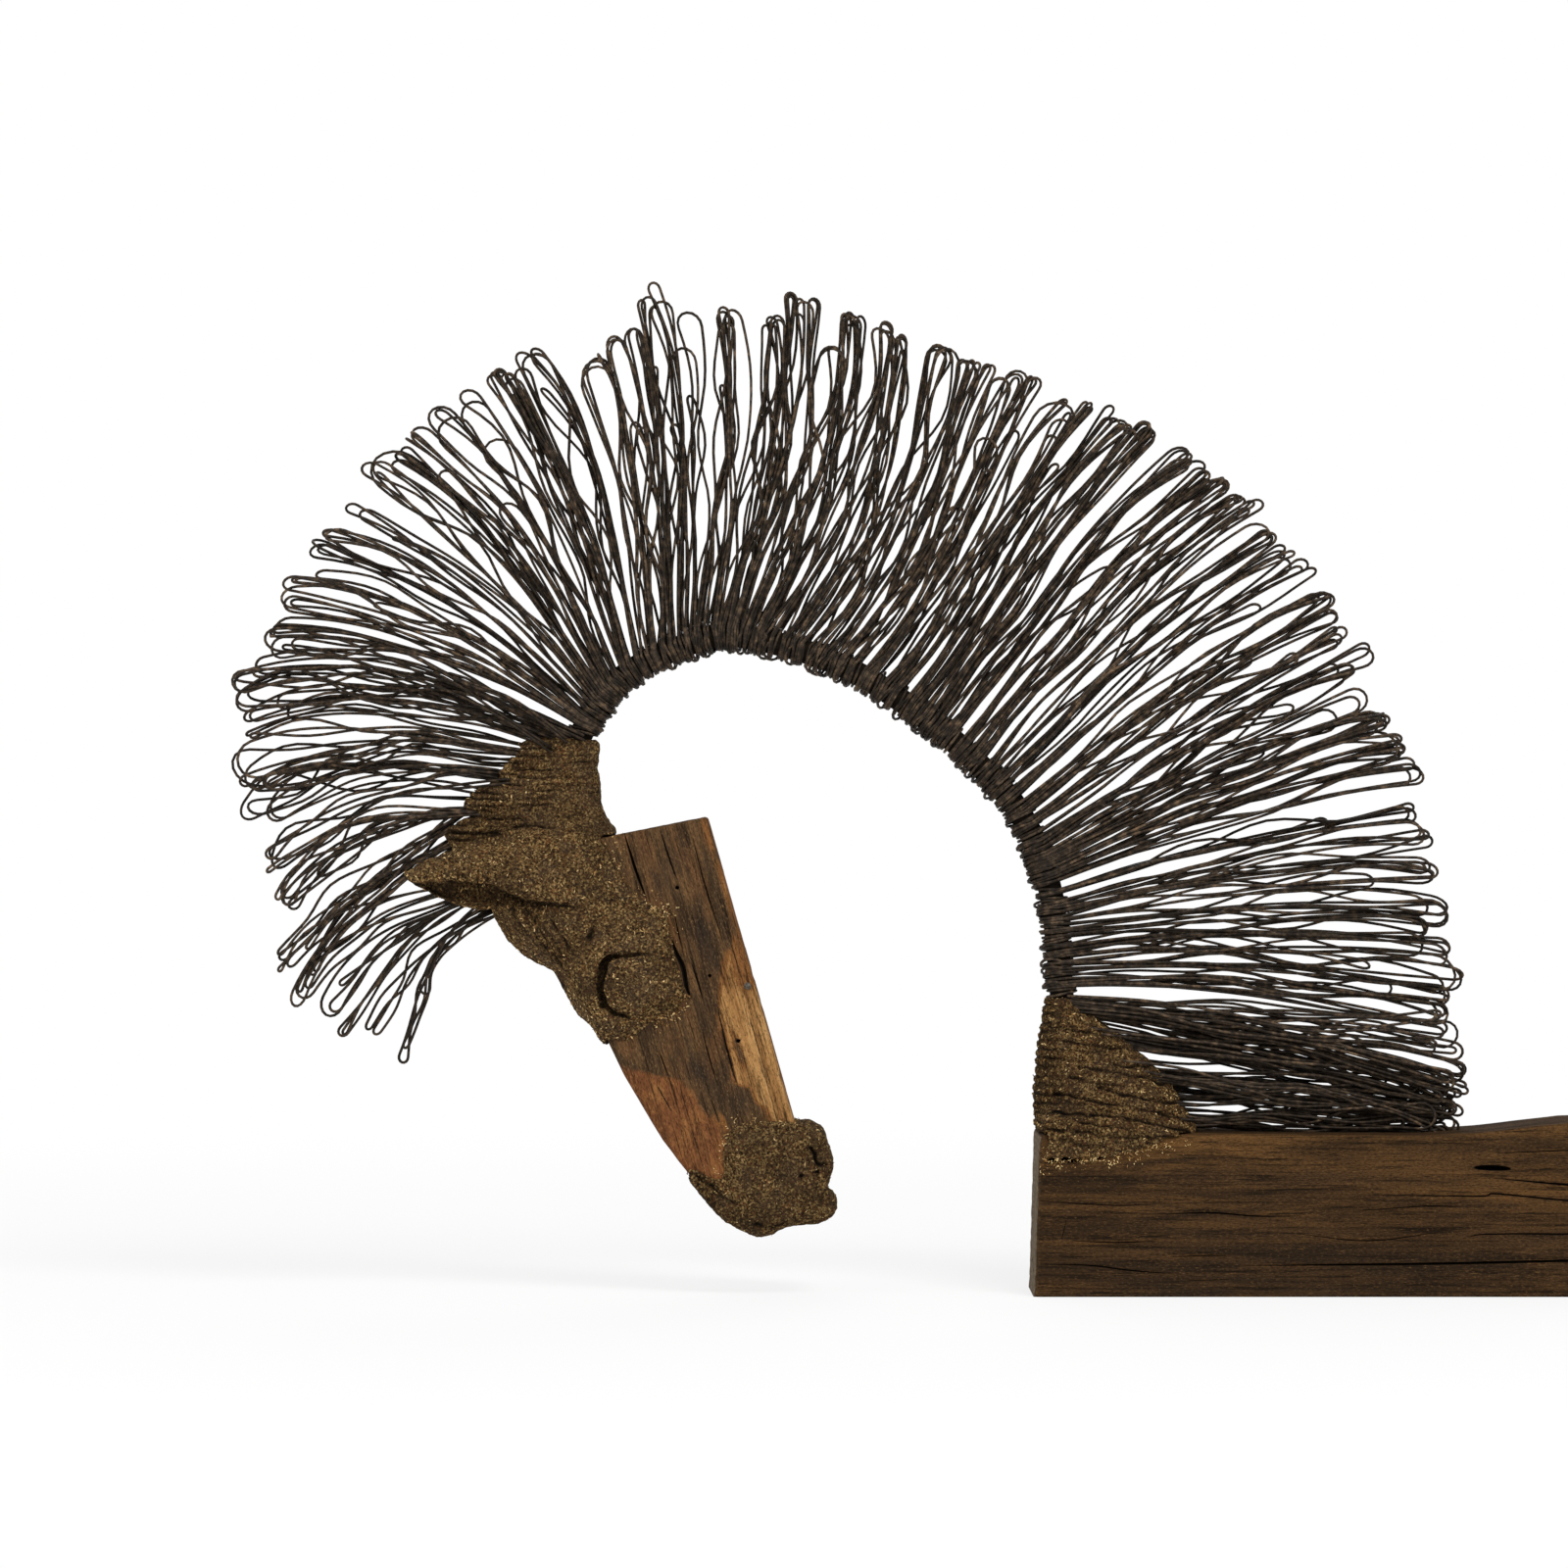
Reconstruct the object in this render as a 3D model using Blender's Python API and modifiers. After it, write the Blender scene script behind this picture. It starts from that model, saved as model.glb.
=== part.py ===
"""A horse's head, neck and wire mane on a length of squared timber. Metres, +Z up, the horse faces -X.

The origin is the middle of the timber's flat underside. Places on the figure are given from the chest:
x back from the sawn chest face, z above the timber's top. Places on the head are given on its plank, from
the jaw corner: down the plank and across it, in the mm of the plank that the head was drawn on.
"""

import math

import bmesh
import bpy
from mathutils import Matrix, Vector

GAP = 0.0003  # clearance between pieces that touch

# The trunk
TRUNK_LENGTH = 0.640
TRUNK_HEIGHT = 0.099  # at the chest
TRUNK_DEPTH = 0.090
TRUNK_RISE = 0.010  # how much higher its back is behind the mane
TRUNK_EDGE = 0.005
CHEST_LEAN = 0.003  # the sawn face leans in by this much at the top

# The head's plank
HEAD_LENGTH = 0.238
HEAD_WIDTH = 0.097
HEAD_THICKNESS = 0.070
HEAD_EDGE = 0.0025
HEAD_LEAN = math.radians(16)  # from upright
JAW_CORNER = (-0.198, 0.192)
DRAWN_LENGTH = 238  # the plank as drawn
DRAWN_WIDTH = 97

# The paste
PASTE_COVER = 0.009  # how far it stands off the plank's faces at its thickest
PASTE_WALL = 0.005  # round the winding
PASTE_GRAIN = 0.0024  # the size that its modelling is rounded to
EYE_RADIUS = 0.0195
EYE_GROOVE = 0.0045
EYE_DEPTH = 0.003
EAR_LENGTH = 0.090
EAR_WIDTH = 0.044
EAR_THICKNESS = 0.024

# The paste on the withers
WITHERS_HEIGHT = 0.081
WITHERS_LENGTH = 0.101
WITHERS_SHOULDER = 0.005  # how far its cone stays inside the trunk's sides
SKIRT_DROP = 0.018  # how far it is smeared down the trunk's sides
SKIRT_COVER = 0.0027
RIDGE_PITCH = 0.0076  # of the covered wires
RIDGE_HEIGHT = 0.0006

# The neck
NECK_DIAMETER = 0.018
NECK_SEAT = 0.012  # how far the winding goes into the paste at each end
NECK_TOP = (-69, 61)  # on the plank
NECK_FOOT = 0.019  # back from the chest
# Its centre line between them: how far along and how far out, as shares of the straight way
NECK_BOW = [
    (0.00, 0.00),
    (0.00, 0.05),
    (0.02, 0.14),
    (0.08, 0.225),
    (0.14, 0.285),
    (0.24, 0.32),
    (0.36, 0.34),
    (0.49, 0.335),
    (0.63, 0.31),
    (0.77, 0.26),
    (0.88, 0.17),
    (0.95, 0.075),
    (1.00, 0.00),
]

# The mane: each lock is a loop of bundled wire
STRAND_RADIUS = 0.0026
CREST_LOCKS = 28
LOOP_WIDTH = 0.011
LOCK_SWAY = 0.014  # to either side
CREST_DROOP = math.radians(20)  # how far a lock at the poll bends down from its first direction
WITHERS_DROOP = math.radians(8)
# How far the locks reach: the share of the neck that they come from, then back and up from there
MANE_REACH = [
    (0.00, -0.194, 0.056),
    (0.02, -0.185, 0.093),
    (0.04, -0.160, 0.123),
    (0.07, -0.126, 0.155),
    (0.11, -0.082, 0.186),
    (0.15, -0.041, 0.198),
    (0.20, -0.019, 0.210),
    (0.25, 0.002, 0.208),
    (0.31, 0.022, 0.210),
    (0.41, 0.033, 0.210),
    (0.49, 0.057, 0.208),
    (0.58, 0.105, 0.201),
    (0.66, 0.147, 0.178),
    (0.745, 0.190, 0.141),
    (0.80, 0.209, 0.104),
    (0.875, 0.236, 0.034),
    (0.945, 0.246, -0.004),
    (1.00, 0.243, -0.027),
]
# Locks bedded in the head's paste: root on the plank, reach back and up, and droop in degrees
FORELOCK_LOCKS = [
    ((18, 147), (-0.051, -0.094), 10),
    ((8, 150), (-0.085, -0.087), 6),
    ((-2, 153), (-0.114, -0.051), 4),
]
POLL_LOCKS = [
    ((-29, 137), (-0.128, -0.022), 26),
    ((-45, 116), (-0.160, -0.005), 28),
    ((-54, 95), (-0.183, 0.014), 26),
    ((-69, 84), (-0.186, 0.037), 24),
]
# Locks bedded in the withers: height as a share of the paste's, reach, and droop in degrees
WITHERS_LOCKS = [
    (0.81, (0.228, -0.023), 2),
    (0.64, (0.211, -0.020), 1),
    (0.46, (0.190, -0.015), 1),
    (0.27, (0.176, -0.009), 0),
    (0.11, (0.166, -0.003), 0),
]

FIGURE = bpy.data.collections.new("wire_horse")
CUTTERS = bpy.data.collections.new("cutters")


def clear_scene():
    for item in list(bpy.data.objects):
        bpy.data.objects.remove(item)
    bpy.context.scene.collection.children.link(FIGURE)
    bpy.context.scene.collection.children.link(CUTTERS)


def finish(name, colour, roughness, metallic=0.0):
    """A plain material for one kind of stuff."""
    material = bpy.data.materials.new(name)
    material.use_nodes = True
    shader = material.node_tree.nodes["Principled BSDF"]
    shader.inputs["Base Color"].default_value = (*colour, 1)
    shader.inputs["Roughness"].default_value = roughness
    shader.inputs["Metallic"].default_value = metallic
    return material


def place(x, z, y=0.0):
    """A point of the figure, given from the chest, in the world."""
    return Vector((x - TRUNK_LENGTH / 2, y, TRUNK_HEIGHT + z))


def head_frame():
    """The jaw corner: z up the plank, x towards the throat."""
    return Matrix.Translation(place(*JAW_CORNER)) @ Matrix.Rotation(-HEAD_LEAN, 4, "Y")


def on_plank(down, across, y=0.0):
    """A drawn point of the head in the head's frame."""
    return Vector((-across * HEAD_WIDTH / DRAWN_WIDTH, y, -down * HEAD_LENGTH / DRAWN_LENGTH))


def add(name, data, material=None, matrix=None, collection=FIGURE):
    item = bpy.data.objects.new(name, data)
    collection.objects.link(item)
    if matrix is not None:
        item.matrix_world = matrix
    if material is not None:
        item.data.materials.append(material)
    return item


def as_cutter(item):
    item.hide_render = True
    item.display_type = "WIRE"
    return item


def cut(item, cutters):
    for cutter in cutters:
        step = item.modifiers.new("cut by " + cutter.name, "BOOLEAN")
        step.operation = "DIFFERENCE"
        step.object = cutter


def solid_copy(item):
    """The mesh that an object shows, with a curve's caps welded on."""
    bpy.context.view_layer.update()
    shown = item.evaluated_get(bpy.context.evaluated_depsgraph_get())
    mesh = bpy.data.meshes.new_from_object(shown)
    shape = bmesh.new()
    shape.from_mesh(mesh)
    bmesh.ops.remove_doubles(shape, verts=shape.verts, dist=1e-6)
    shape.to_mesh(mesh)
    shape.free()
    return mesh


# Flat outlines


def grown(outline, amount):
    """A closed outline with every side moved outwards. It runs anticlockwise."""
    moved = []
    for i, here in enumerate(outline):
        before = Vector(outline[i - 1])
        after = Vector(outline[(i + 1) % len(outline)])
        here = Vector(here)
        side_in = (here - before).normalized()
        side_out = (after - here).normalized()
        normals = Vector((side_in.y, -side_in.x)), Vector((side_out.y, -side_out.x))
        mitre = (normals[0] + normals[1]).normalized()
        moved.append(tuple(here + mitre * (amount / mitre.dot(normals[0]))))
    return moved


def slab_mesh(name, outline, thickness):
    """An outline in x and z, with its thickness along y, as one closed mesh."""
    flat = bpy.data.curves.new(name, "CURVE")
    flat.dimensions = "2D"
    flat.fill_mode = "BOTH"
    flat.extrude = thickness / 2
    line = flat.splines.new("POLY")
    line.points.add(len(outline) - 1)
    for point, (x, z) in zip(line.points, outline):
        point.co = (x, z, 0, 1)
    line.use_cyclic_u = True
    drawing = add(name + " outline", flat, collection=CUTTERS)
    mesh = solid_copy(drawing)
    bpy.data.objects.remove(drawing)
    mesh.transform(Matrix.Rotation(math.radians(90), 4, "X"))
    return mesh


def round_edges(item, width):
    step = item.modifiers.new("worn edges", "BEVEL")
    step.width = width
    step.segments = 2
    step.limit_method = "ANGLE"
    step.angle_limit = math.radians(30)


def timber(name, outline, thickness, edge, frame, wood):
    """A squared timber, and the room that it takes up in the paste."""
    item = add(name, slab_mesh(name, outline, thickness), wood, frame)
    round_edges(item, edge)
    room = slab_mesh(name + " room", grown(outline, GAP), thickness + 2 * GAP)
    return item, as_cutter(add(name + " room", room, matrix=frame, collection=CUTTERS))


def trunk_timber(wood):
    back = TRUNK_HEIGHT + TRUNK_RISE
    outline = [
        (0, 0),
        (TRUNK_LENGTH, 0),
        (TRUNK_LENGTH, back - 0.2 * TRUNK_RISE),
        (0.66 * TRUNK_LENGTH, back),
        (0.51 * TRUNK_LENGTH, TRUNK_HEIGHT + 0.75 * TRUNK_RISE),
        (0.43 * TRUNK_LENGTH, TRUNK_HEIGHT + 0.15 * TRUNK_RISE),
        (0.37 * TRUNK_LENGTH, TRUNK_HEIGHT - 0.1 * TRUNK_RISE),
        (0.16 * TRUNK_LENGTH, TRUNK_HEIGHT),
        (CHEST_LEAN, TRUNK_HEIGHT),
    ]
    frame = Matrix.Translation((-TRUNK_LENGTH / 2, 0, 0))
    return timber("trunk_timber", outline, TRUNK_DEPTH, TRUNK_EDGE, frame, wood)


HEAD_OUTLINE = [(0, 0), (-8, 97), (112, 97), (140, 92), (184, 80), (211, 69), (236, 45), (238, 4)]


def head_timber(wood):
    """The plank: sawn across at the poll, cut away along the nose."""
    outline = [tuple(on_plank(*point).xz) for point in HEAD_OUTLINE]
    return timber("head_timber", outline, HEAD_THICKNESS, HEAD_EDGE, head_frame(), wood)


# Lines and tubes


def smooth_line(points, steps=12):
    """A close row of points on a smooth curve through the given ones."""
    points = [Vector(p) for p in points]
    ends = [2 * points[0] - points[1], *points, 2 * points[-1] - points[-2]]
    row = []
    for a, b, c, d in zip(ends, ends[1:], ends[2:], ends[3:]):
        for i in range(steps):
            t = i / steps
            bend = 2 * a - 5 * b + 4 * c - d
            twist = 3 * b - a - 3 * c + d
            row.append(0.5 * (2 * b + (c - a) * t + bend * t**2 + twist * t**3))
    return [*row, points[-1]]


def at_share(row, share):
    """The point at a share of a row's length, and the direction there."""
    spans = [(b - a).length for a, b in zip(row, row[1:])]
    left = share * sum(spans)
    for a, b, span in zip(row, row[1:], spans):
        if left <= span:
            break
        left -= span
    return a.lerp(b, min(left / span, 1.0)), (b - a).normalized()


def tube(name, points, radius, sides, radii=None, collection=FIGURE, material=None):
    """A tube along a row of points with flat ends. It has 4 + 2 * sides faces round."""
    line = bpy.data.curves.new(name, "CURVE")
    line.dimensions = "3D"
    line.bevel_depth = radius
    line.bevel_resolution = sides
    line.use_fill_caps = True
    spline = line.splines.new("POLY")
    spline.points.add(len(points) - 1)
    for i, (point, co) in enumerate(zip(spline.points, points)):
        point.co = (*co, 1)
        point.radius = radii[i] if radii else 1.0
    return add(name, line, material, collection=collection)


def neck_line():
    """The free part of the winding's centre line, from the poll to the withers."""
    top = head_frame() @ on_plank(*NECK_TOP)
    run = place(NECK_FOOT, WITHERS_HEIGHT) - top
    out = Vector((-run.z, 0, run.x))
    return smooth_line([top + run * along + out * bow for along, bow in NECK_BOW])


def neck_points(seat, count=24):
    """The centre line, run straight on into the paste by seat at each end."""
    row = neck_line()
    top = row[0] + (row[0] - row[1]).normalized() * seat
    foot = row[-1] + (row[-1] - row[-2]).normalized() * seat
    free = [at_share(row, i / (count - 3))[0] for i in range(count - 2)]
    return [top, *free, foot]


def neck_winding(wire):
    """The wound neck, and the room that it takes up in the paste."""
    winding = tube("neck_winding", neck_points(NECK_SEAT), NECK_DIAMETER / 2, 3, material=wire)
    drawing = tube("neck line", neck_points(NECK_SEAT + GAP), NECK_DIAMETER / 2 + GAP, 3, collection=CUTTERS)
    room = add("neck room", solid_copy(drawing), collection=CUTTERS)
    bpy.data.objects.remove(drawing)
    return winding, as_cutter(room)


# Paste on the head


def pebble(shape, centre, radii, turn=None, point=0.0):
    """A rounded lump. With a point, its +x end is drawn out like a leaf."""
    made = bmesh.ops.create_uvsphere(shape, u_segments=20, v_segments=12, radius=1)
    for vert in made["verts"]:
        drawn = (1 - min(max(vert.co.x, 0), 1)) ** point
        spot = Vector((vert.co.x * radii[0], vert.co.y * radii[1] * drawn, vert.co.z * radii[2] * drawn))
        vert.co = (turn @ spot if turn else spot) + centre


def layer(shape, half, outline):
    """A flat layer through the head, half its thickness to each side of the middle."""
    shape.from_mesh(slab_mesh("layer", [tuple(on_plank(*point).xz) for point in outline], 2 * half))


def modelled(name, shape, softness, faces_kept, paste):
    """Lumps pressed into one mass: joined, smoothed, and brought down to few faces."""
    mesh = bpy.data.meshes.new(name)
    shape.to_mesh(mesh)
    shape.free()
    mass = add(name, mesh, paste, matrix=head_frame())
    join = mass.modifiers.new("pressed together", "REMESH")
    join.mode = "VOXEL"
    join.voxel_size = PASTE_GRAIN
    soften = mass.modifiers.new("smoothed by hand", "SMOOTH")
    soften.factor = 0.5
    soften.iterations = softness
    fewer = mass.modifiers.new("few faces", "DECIMATE")
    fewer.ratio = faces_kept
    return mass


EYE = (85.5, 74)


def eye_groove(side):
    """The deep crease over, before and under an eyeball."""
    outer, inner = [], []
    for i in range(17):
        angle = math.radians(45 + 215 * i / 16)
        width = EYE_GROOVE * (0.2 + 0.8 * math.sin(math.pi * i / 16))
        direction = Vector((math.cos(angle), math.sin(angle)))
        outer.append(tuple(direction * (EYE_RADIUS + width / 2)))
        inner.append(tuple(direction * (EYE_RADIUS - width / 2)))
    thickness = 2 * (PASTE_COVER + EYE_DEPTH)
    floor = HEAD_THICKNESS / 2 + PASTE_COVER - EYE_DEPTH
    spot = Matrix.Translation(on_plank(*EYE, side * (floor + thickness / 2)))
    mesh = slab_mesh("eye groove", [*outer, *reversed(inner)], thickness)
    return as_cutter(add(f"eye groove {side}", mesh, matrix=head_frame() @ spot, collection=CUTTERS))


EAR = (-3, 144)
EAR_TURN = math.radians(17)  # its tip is above its base
EAR_SPLAY = math.radians(6)


def ear_middle(side):
    """Half the ear's thickness stands outside the plank's face."""
    return on_plank(*EAR, side * (HEAD_THICKNESS / 2 - 0.001))


def ear_hollow(side):
    """The opening of an ear, which faces out and down."""
    shape = bmesh.new()
    pebble(shape, Vector(), (0.46 * EAR_LENGTH, 0.45 * EAR_THICKNESS, 0.18 * EAR_WIDTH))
    mesh = bpy.data.meshes.new("ear hollow")
    shape.to_mesh(mesh)
    shape.free()
    down_and_out = Vector((0, side * 0.4 * EAR_THICKNESS, -0.25 * EAR_WIDTH))
    spot = Matrix.Translation(ear_middle(side) + down_and_out) @ Matrix.Rotation(math.radians(22), 4, "Y")
    return as_cutter(add(f"ear hollow {side}", mesh, matrix=head_frame() @ spot, collection=CUTTERS))


POLL_LAYER = [
    (-63, 49), (-49, 56), (-33, 59), (-20, 61), (-12, 60), (-4, 55), (16, 60), (35, 55), (60, 50), (110, 56),
    (119, 80), (119, 98), (105, 102), (96, 109), (74, 115), (66, 114), (55, 129), (37, 140), (20, 142), (0, 151),
    (-23, 158), (-37, 157), (-46, 142), (-60, 121), (-65, 109), (-77, 98), (-72, 72),
]  # fmt: skip
SHOULDER_LAYER = [
    (-44, 70), (-20, 62), (-4, 55), (16, 60), (40, 50), (110, 52), (119, 80), (119, 96), (100, 104), (74, 111),
    (66, 111), (54, 123), (35, 134), (10, 140), (-15, 150), (-32, 142), (-48, 118), (-52, 92),
]  # fmt: skip
CHEEK_LAYER = [
    (-16, 76), (-5, 57), (15, 61), (34, 55), (46, 38), (70, 41), (100, 40), (110, 49), (112, 67), (121, 80),
    (119, 98), (98, 103), (72, 109), (60, 112), (45, 122), (20, 130), (-4, 132), (-20, 118),
]  # fmt: skip
EYE_LAYER = [
    (2, 74), (16, 66), (35, 60), (48, 41), (70, 43), (100, 43), (108, 52), (109, 68), (114, 80), (110, 93),
    (95, 99), (72, 104), (50, 104), (20, 112), (2, 108),
]  # fmt: skip


def crown_paste(paste, cutters):
    """The poll, both ears, the forelock's bed, the brows and the eyes, as one mass over the plank."""
    half = HEAD_THICKNESS / 2
    shape = bmesh.new()
    layer(shape, NECK_DIAMETER / 2 + PASTE_WALL, POLL_LAYER)
    layer(shape, 0.7 * half, SHOULDER_LAYER)
    layer(shape, half + 0.3 * PASTE_COVER, CHEEK_LAYER)
    layer(shape, half + PASTE_COVER, EYE_LAYER)
    for side in (-1, 1):
        turn = Matrix.Rotation(-side * EAR_SPLAY, 3, "Z") @ Matrix.Rotation(math.pi + EAR_TURN, 3, "Y")
        pebble(shape, ear_middle(side), (EAR_LENGTH / 2, EAR_THICKNESS / 2, EAR_WIDTH / 2), turn, 0.3)
        eyeball = (0.97 * EYE_RADIUS, 0.9 * PASTE_COVER, 0.92 * EYE_RADIUS)
        pebble(shape, on_plank(*EYE, side * (half + 0.55 * PASTE_COVER)), eyeball)
    mass = modelled("crown_paste", shape, 45, 0.027, paste)
    cut(mass, cutters)
    return mass


LIP_LAYER = [
    (195, 2), (188, 17), (185, 32), (188, 41), (198, 48), (213, 50), (213, 55), (205, 63), (198, 73), (212, 71),
    (225, 65), (241, 57), (249, 48), (255, 39), (255, 31), (253, 23), (255, 12), (257, 3), (256, -5), (251, -11),
    (245, -12), (241, -8), (237, -7), (230, -13), (224, -16), (217, -16), (213, -13), (209, -16), (203, -15),
    (197, -9),
]  # fmt: skip
NOSTRIL_LAYER = [
    (192, 2), (187, 16), (186, 32), (191, 42), (199, 47), (214, 49), (228, 52), (240, 47), (249, 36), (248, 16),
    (245, -2), (236, -4), (222, -9), (208, -9), (198, -3),
]  # fmt: skip
NOSTRIL = (219, 20)


def muzzle_paste(paste, cutters):
    """The end of the nose with the chin and both lips, round the plank's end."""
    half = HEAD_THICKNESS / 2
    width = 0.3 * HEAD_WIDTH
    shape = bmesh.new()
    layer(shape, half + 0.25 * PASTE_COVER, LIP_LAYER)
    layer(shape, half + 0.6 * PASTE_COVER, NOSTRIL_LAYER)
    for side in (-1, 1):
        pebble(shape, on_plank(*NOSTRIL, side * half), (width, 1.3 * PASTE_COVER, width))
    mass = modelled("muzzle_paste", shape, 12, 0.036, paste)
    cut(mass, cutters)
    return mass


# Paste on the withers

# From the top down: height, and how far it has spread back and to the sides, as shares; then its roundness
WITHERS_CONE = [
    (1.00, 0.00, 0.00, 1.0),
    (0.90, 0.09, 0.09, 1.0),
    (0.73, 0.36, 0.29, 0.9),
    (0.54, 0.62, 0.49, 0.8),
    (0.32, 0.85, 0.78, 0.7),
    (0.15, 0.96, 1.00, 0.6),
]
COLLAR = NECK_DIAMETER / 2 + 0.0017  # the thin top edge, round the winding


def withers_sections():
    """From the bottom up: height, front, back, half depth and roundness."""
    side = TRUNK_DEPTH / 2
    sections = [
        (-SKIRT_DROP, CHEST_LEAN, 0.36 * WITHERS_LENGTH, side + 0.7 * SKIRT_COVER, 0.2),
        (-0.5 * SKIRT_DROP, CHEST_LEAN, 0.71 * WITHERS_LENGTH, side + 0.9 * SKIRT_COVER, 0.2),
        (0.001, CHEST_LEAN, 0.98 * WITHERS_LENGTH, side + SKIRT_COVER, 0.25),
        (0.005, 0.6 * CHEST_LEAN, WITHERS_LENGTH, side + 0.3 * SKIRT_COVER, 0.4),
    ]
    top_front, top_back, top_depth = NECK_FOOT - COLLAR, NECK_FOOT + COLLAR, COLLAR + 0.002
    for share, spread_back, spread_out, roundness in reversed(WITHERS_CONE):
        front = 0.3 * CHEST_LEAN * (1 - share) + top_front * share**2
        back = top_back + (WITHERS_LENGTH - top_back) * spread_back
        depth = top_depth + (side - WITHERS_SHOULDER - top_depth) * spread_out
        sections.append((WITHERS_HEIGHT * share, front, back, depth, roundness))
    return sections


def between(rows, value):
    """The row of sizes at a value of the first column."""
    for low, high in zip(rows, rows[1:]):
        if value <= high[0]:
            break
    t = (value - low[0]) / (high[0] - low[0])
    return [a + (b - a) * t for a, b in zip(low, high)]


def withers_paste(paste, cutters):
    """A ridged cone: each ridge is a row of covered wires."""
    around = 16
    sections = withers_sections()
    levels = 2 * round((WITHERS_HEIGHT + SKIRT_DROP) / RIDGE_PITCH)
    shape = bmesh.new()
    rings = []
    for level in range(levels + 1):
        goal = -SKIRT_DROP + (WITHERS_HEIGHT + SKIRT_DROP) * level / levels
        height, front, back, depth, roundness = between(sections, goal)
        ridge = RIDGE_HEIGHT if level % 2 else -RIDGE_HEIGHT
        middle, half = (front + back) / 2, (back - front) / 2
        ring = []
        for i in range(around):
            angle = 2 * math.pi * (i + 0.5) / around
            c, s = math.cos(angle), math.sin(angle)
            x = math.copysign(abs(c) ** roundness, c) * (half + ridge * (c > 0))
            y = math.copysign(abs(s) ** roundness, s) * (depth + ridge * (height > 0.005))
            ring.append(shape.verts.new(place(middle + x, height - 0.08 * x * (height > 0), y)))
        rings.append(ring)
    for low, high in zip(rings, rings[1:]):
        for i in range(around):
            j = (i + 1) % around
            shape.faces.new((low[i], low[j], high[j], high[i]))
    shape.faces.new(reversed(rings[0]))
    shape.faces.new(rings[-1])
    mesh = bpy.data.meshes.new("withers_paste")
    shape.to_mesh(mesh)
    shape.free()
    mass = add("withers_paste", mesh, paste)
    cut(mass, cutters)
    return mass


# The mane


def leg(start, way, tip, bend, spread):
    """One side of a lock's loop: points from its start to just short of the tip."""
    chord = tip - start
    reach = chord.length
    turn = bend if chord.x < 0 else -bend
    first = Matrix.Rotation(turn, 3, "Y") @ chord.normalized()
    last = Matrix.Rotation(-turn, 3, "Y") @ chord.normalized()
    lead = first.lerp(way, 0.35)
    a, b, c, d = start, start + lead * 0.33 * reach, tip - last * 0.33 * reach, tip
    points = []
    for t in (0.28, 0.6, 0.92):
        u = 1 - t
        spot = a * u**3 + b * 3 * t * u * u + c * 3 * t * t * u + d * t**3
        points.append(spot + spread * math.sin(math.pi * min(t, 0.8) / 1.6) ** 2)
    return points


def lock(name, starts, way, tip, bend, spread, sway, wire):
    """A loop of bundled wire: out along the near side, round the tip and back along the far side."""
    near, far = starts
    apart = Vector((0, 1.35 * STRAND_RADIUS, 0))
    aside = Vector((0, sway, 0))
    out = leg(near[-1], way, tip + aside - apart, bend, -spread)
    back = leg(far[-1], way, tip + aside + apart, bend, spread)
    end = tip + aside + (out[-1] - out[-2]).normalized() * STRAND_RADIUS
    points = [*near, *out, end, *reversed(back), *reversed(far)]
    radii = [0.8 + 0.3 * math.sin(math.pi * i / (len(points) - 1) * 2) ** 2 for i in range(len(points))]
    radii[len(points) // 2] = 0.75
    return tube(name, points, STRAND_RADIUS, 1, radii, material=wire)


def crest_lock(number, name, row, wire):
    """A lock that comes off the winding, at an even step along the mane's edge."""
    reaches = smooth_line(MANE_REACH)
    shares = [min(max(reach.x, 0.012), 0.985) for reach in reaches]
    edge = [at_share(row, share)[0] + Vector((reach.y, 0, reach.z)) for share, reach in zip(shares, reaches)]
    tip, _ = at_share(edge, (number + 0.4) / CREST_LOCKS)
    nearest = min(range(len(edge)), key=lambda i: (edge[i] - tip).length)
    root, along = at_share(row, shares[nearest])
    way = Vector((-along.z, 0, along.x))
    off = NECK_DIAMETER / 2 + STRAND_RADIUS + GAP
    starts = []
    for side in (-1, 1):
        laid = [root + off * (math.cos(a) * way + Vector((0, side * math.sin(a), 0))) for a in (2.1, 1.5)]
        starts.append(laid)
    ragged = 0.008 * math.sin(2.6 * number) + 0.005 * math.sin(1.1 * number)
    tip += (tip - root).normalized() * (ragged - 0.008)
    left = max(0.0, -(tip - root).normalized().x)
    bend = WITHERS_DROOP + (CREST_DROOP - WITHERS_DROOP) * left
    spread = Vector((-way.z, 0, way.x)) * LOOP_WIDTH / 2 * (1 + 0.35 * math.sin(1.7 * number))
    return lock(name, starts, way, tip, bend, spread, LOCK_SWAY * math.sin(2.4 * number), wire)


def bedded_lock(name, root, reach, bend, spread, mass, wire):
    """A lock whose wires come out of paste: it is cut off at the paste's surface."""
    apart = Vector((0, LOOP_WIDTH / 2, 0))
    tip = root + Vector((reach[0], 0, reach[1]))
    way = (tip - root).normalized()
    starts = ([root - apart], [root + apart])
    drawing = lock(name + " line", starts, way, tip, math.radians(bend), spread, 0.0, wire)
    item = add(name, solid_copy(drawing))
    bpy.data.objects.remove(drawing)
    cut(item, [mass])
    mesh = solid_copy(item)
    item.modifiers.clear()
    item.data = mesh
    item.location = way * 1.5 * GAP
    return item


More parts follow.
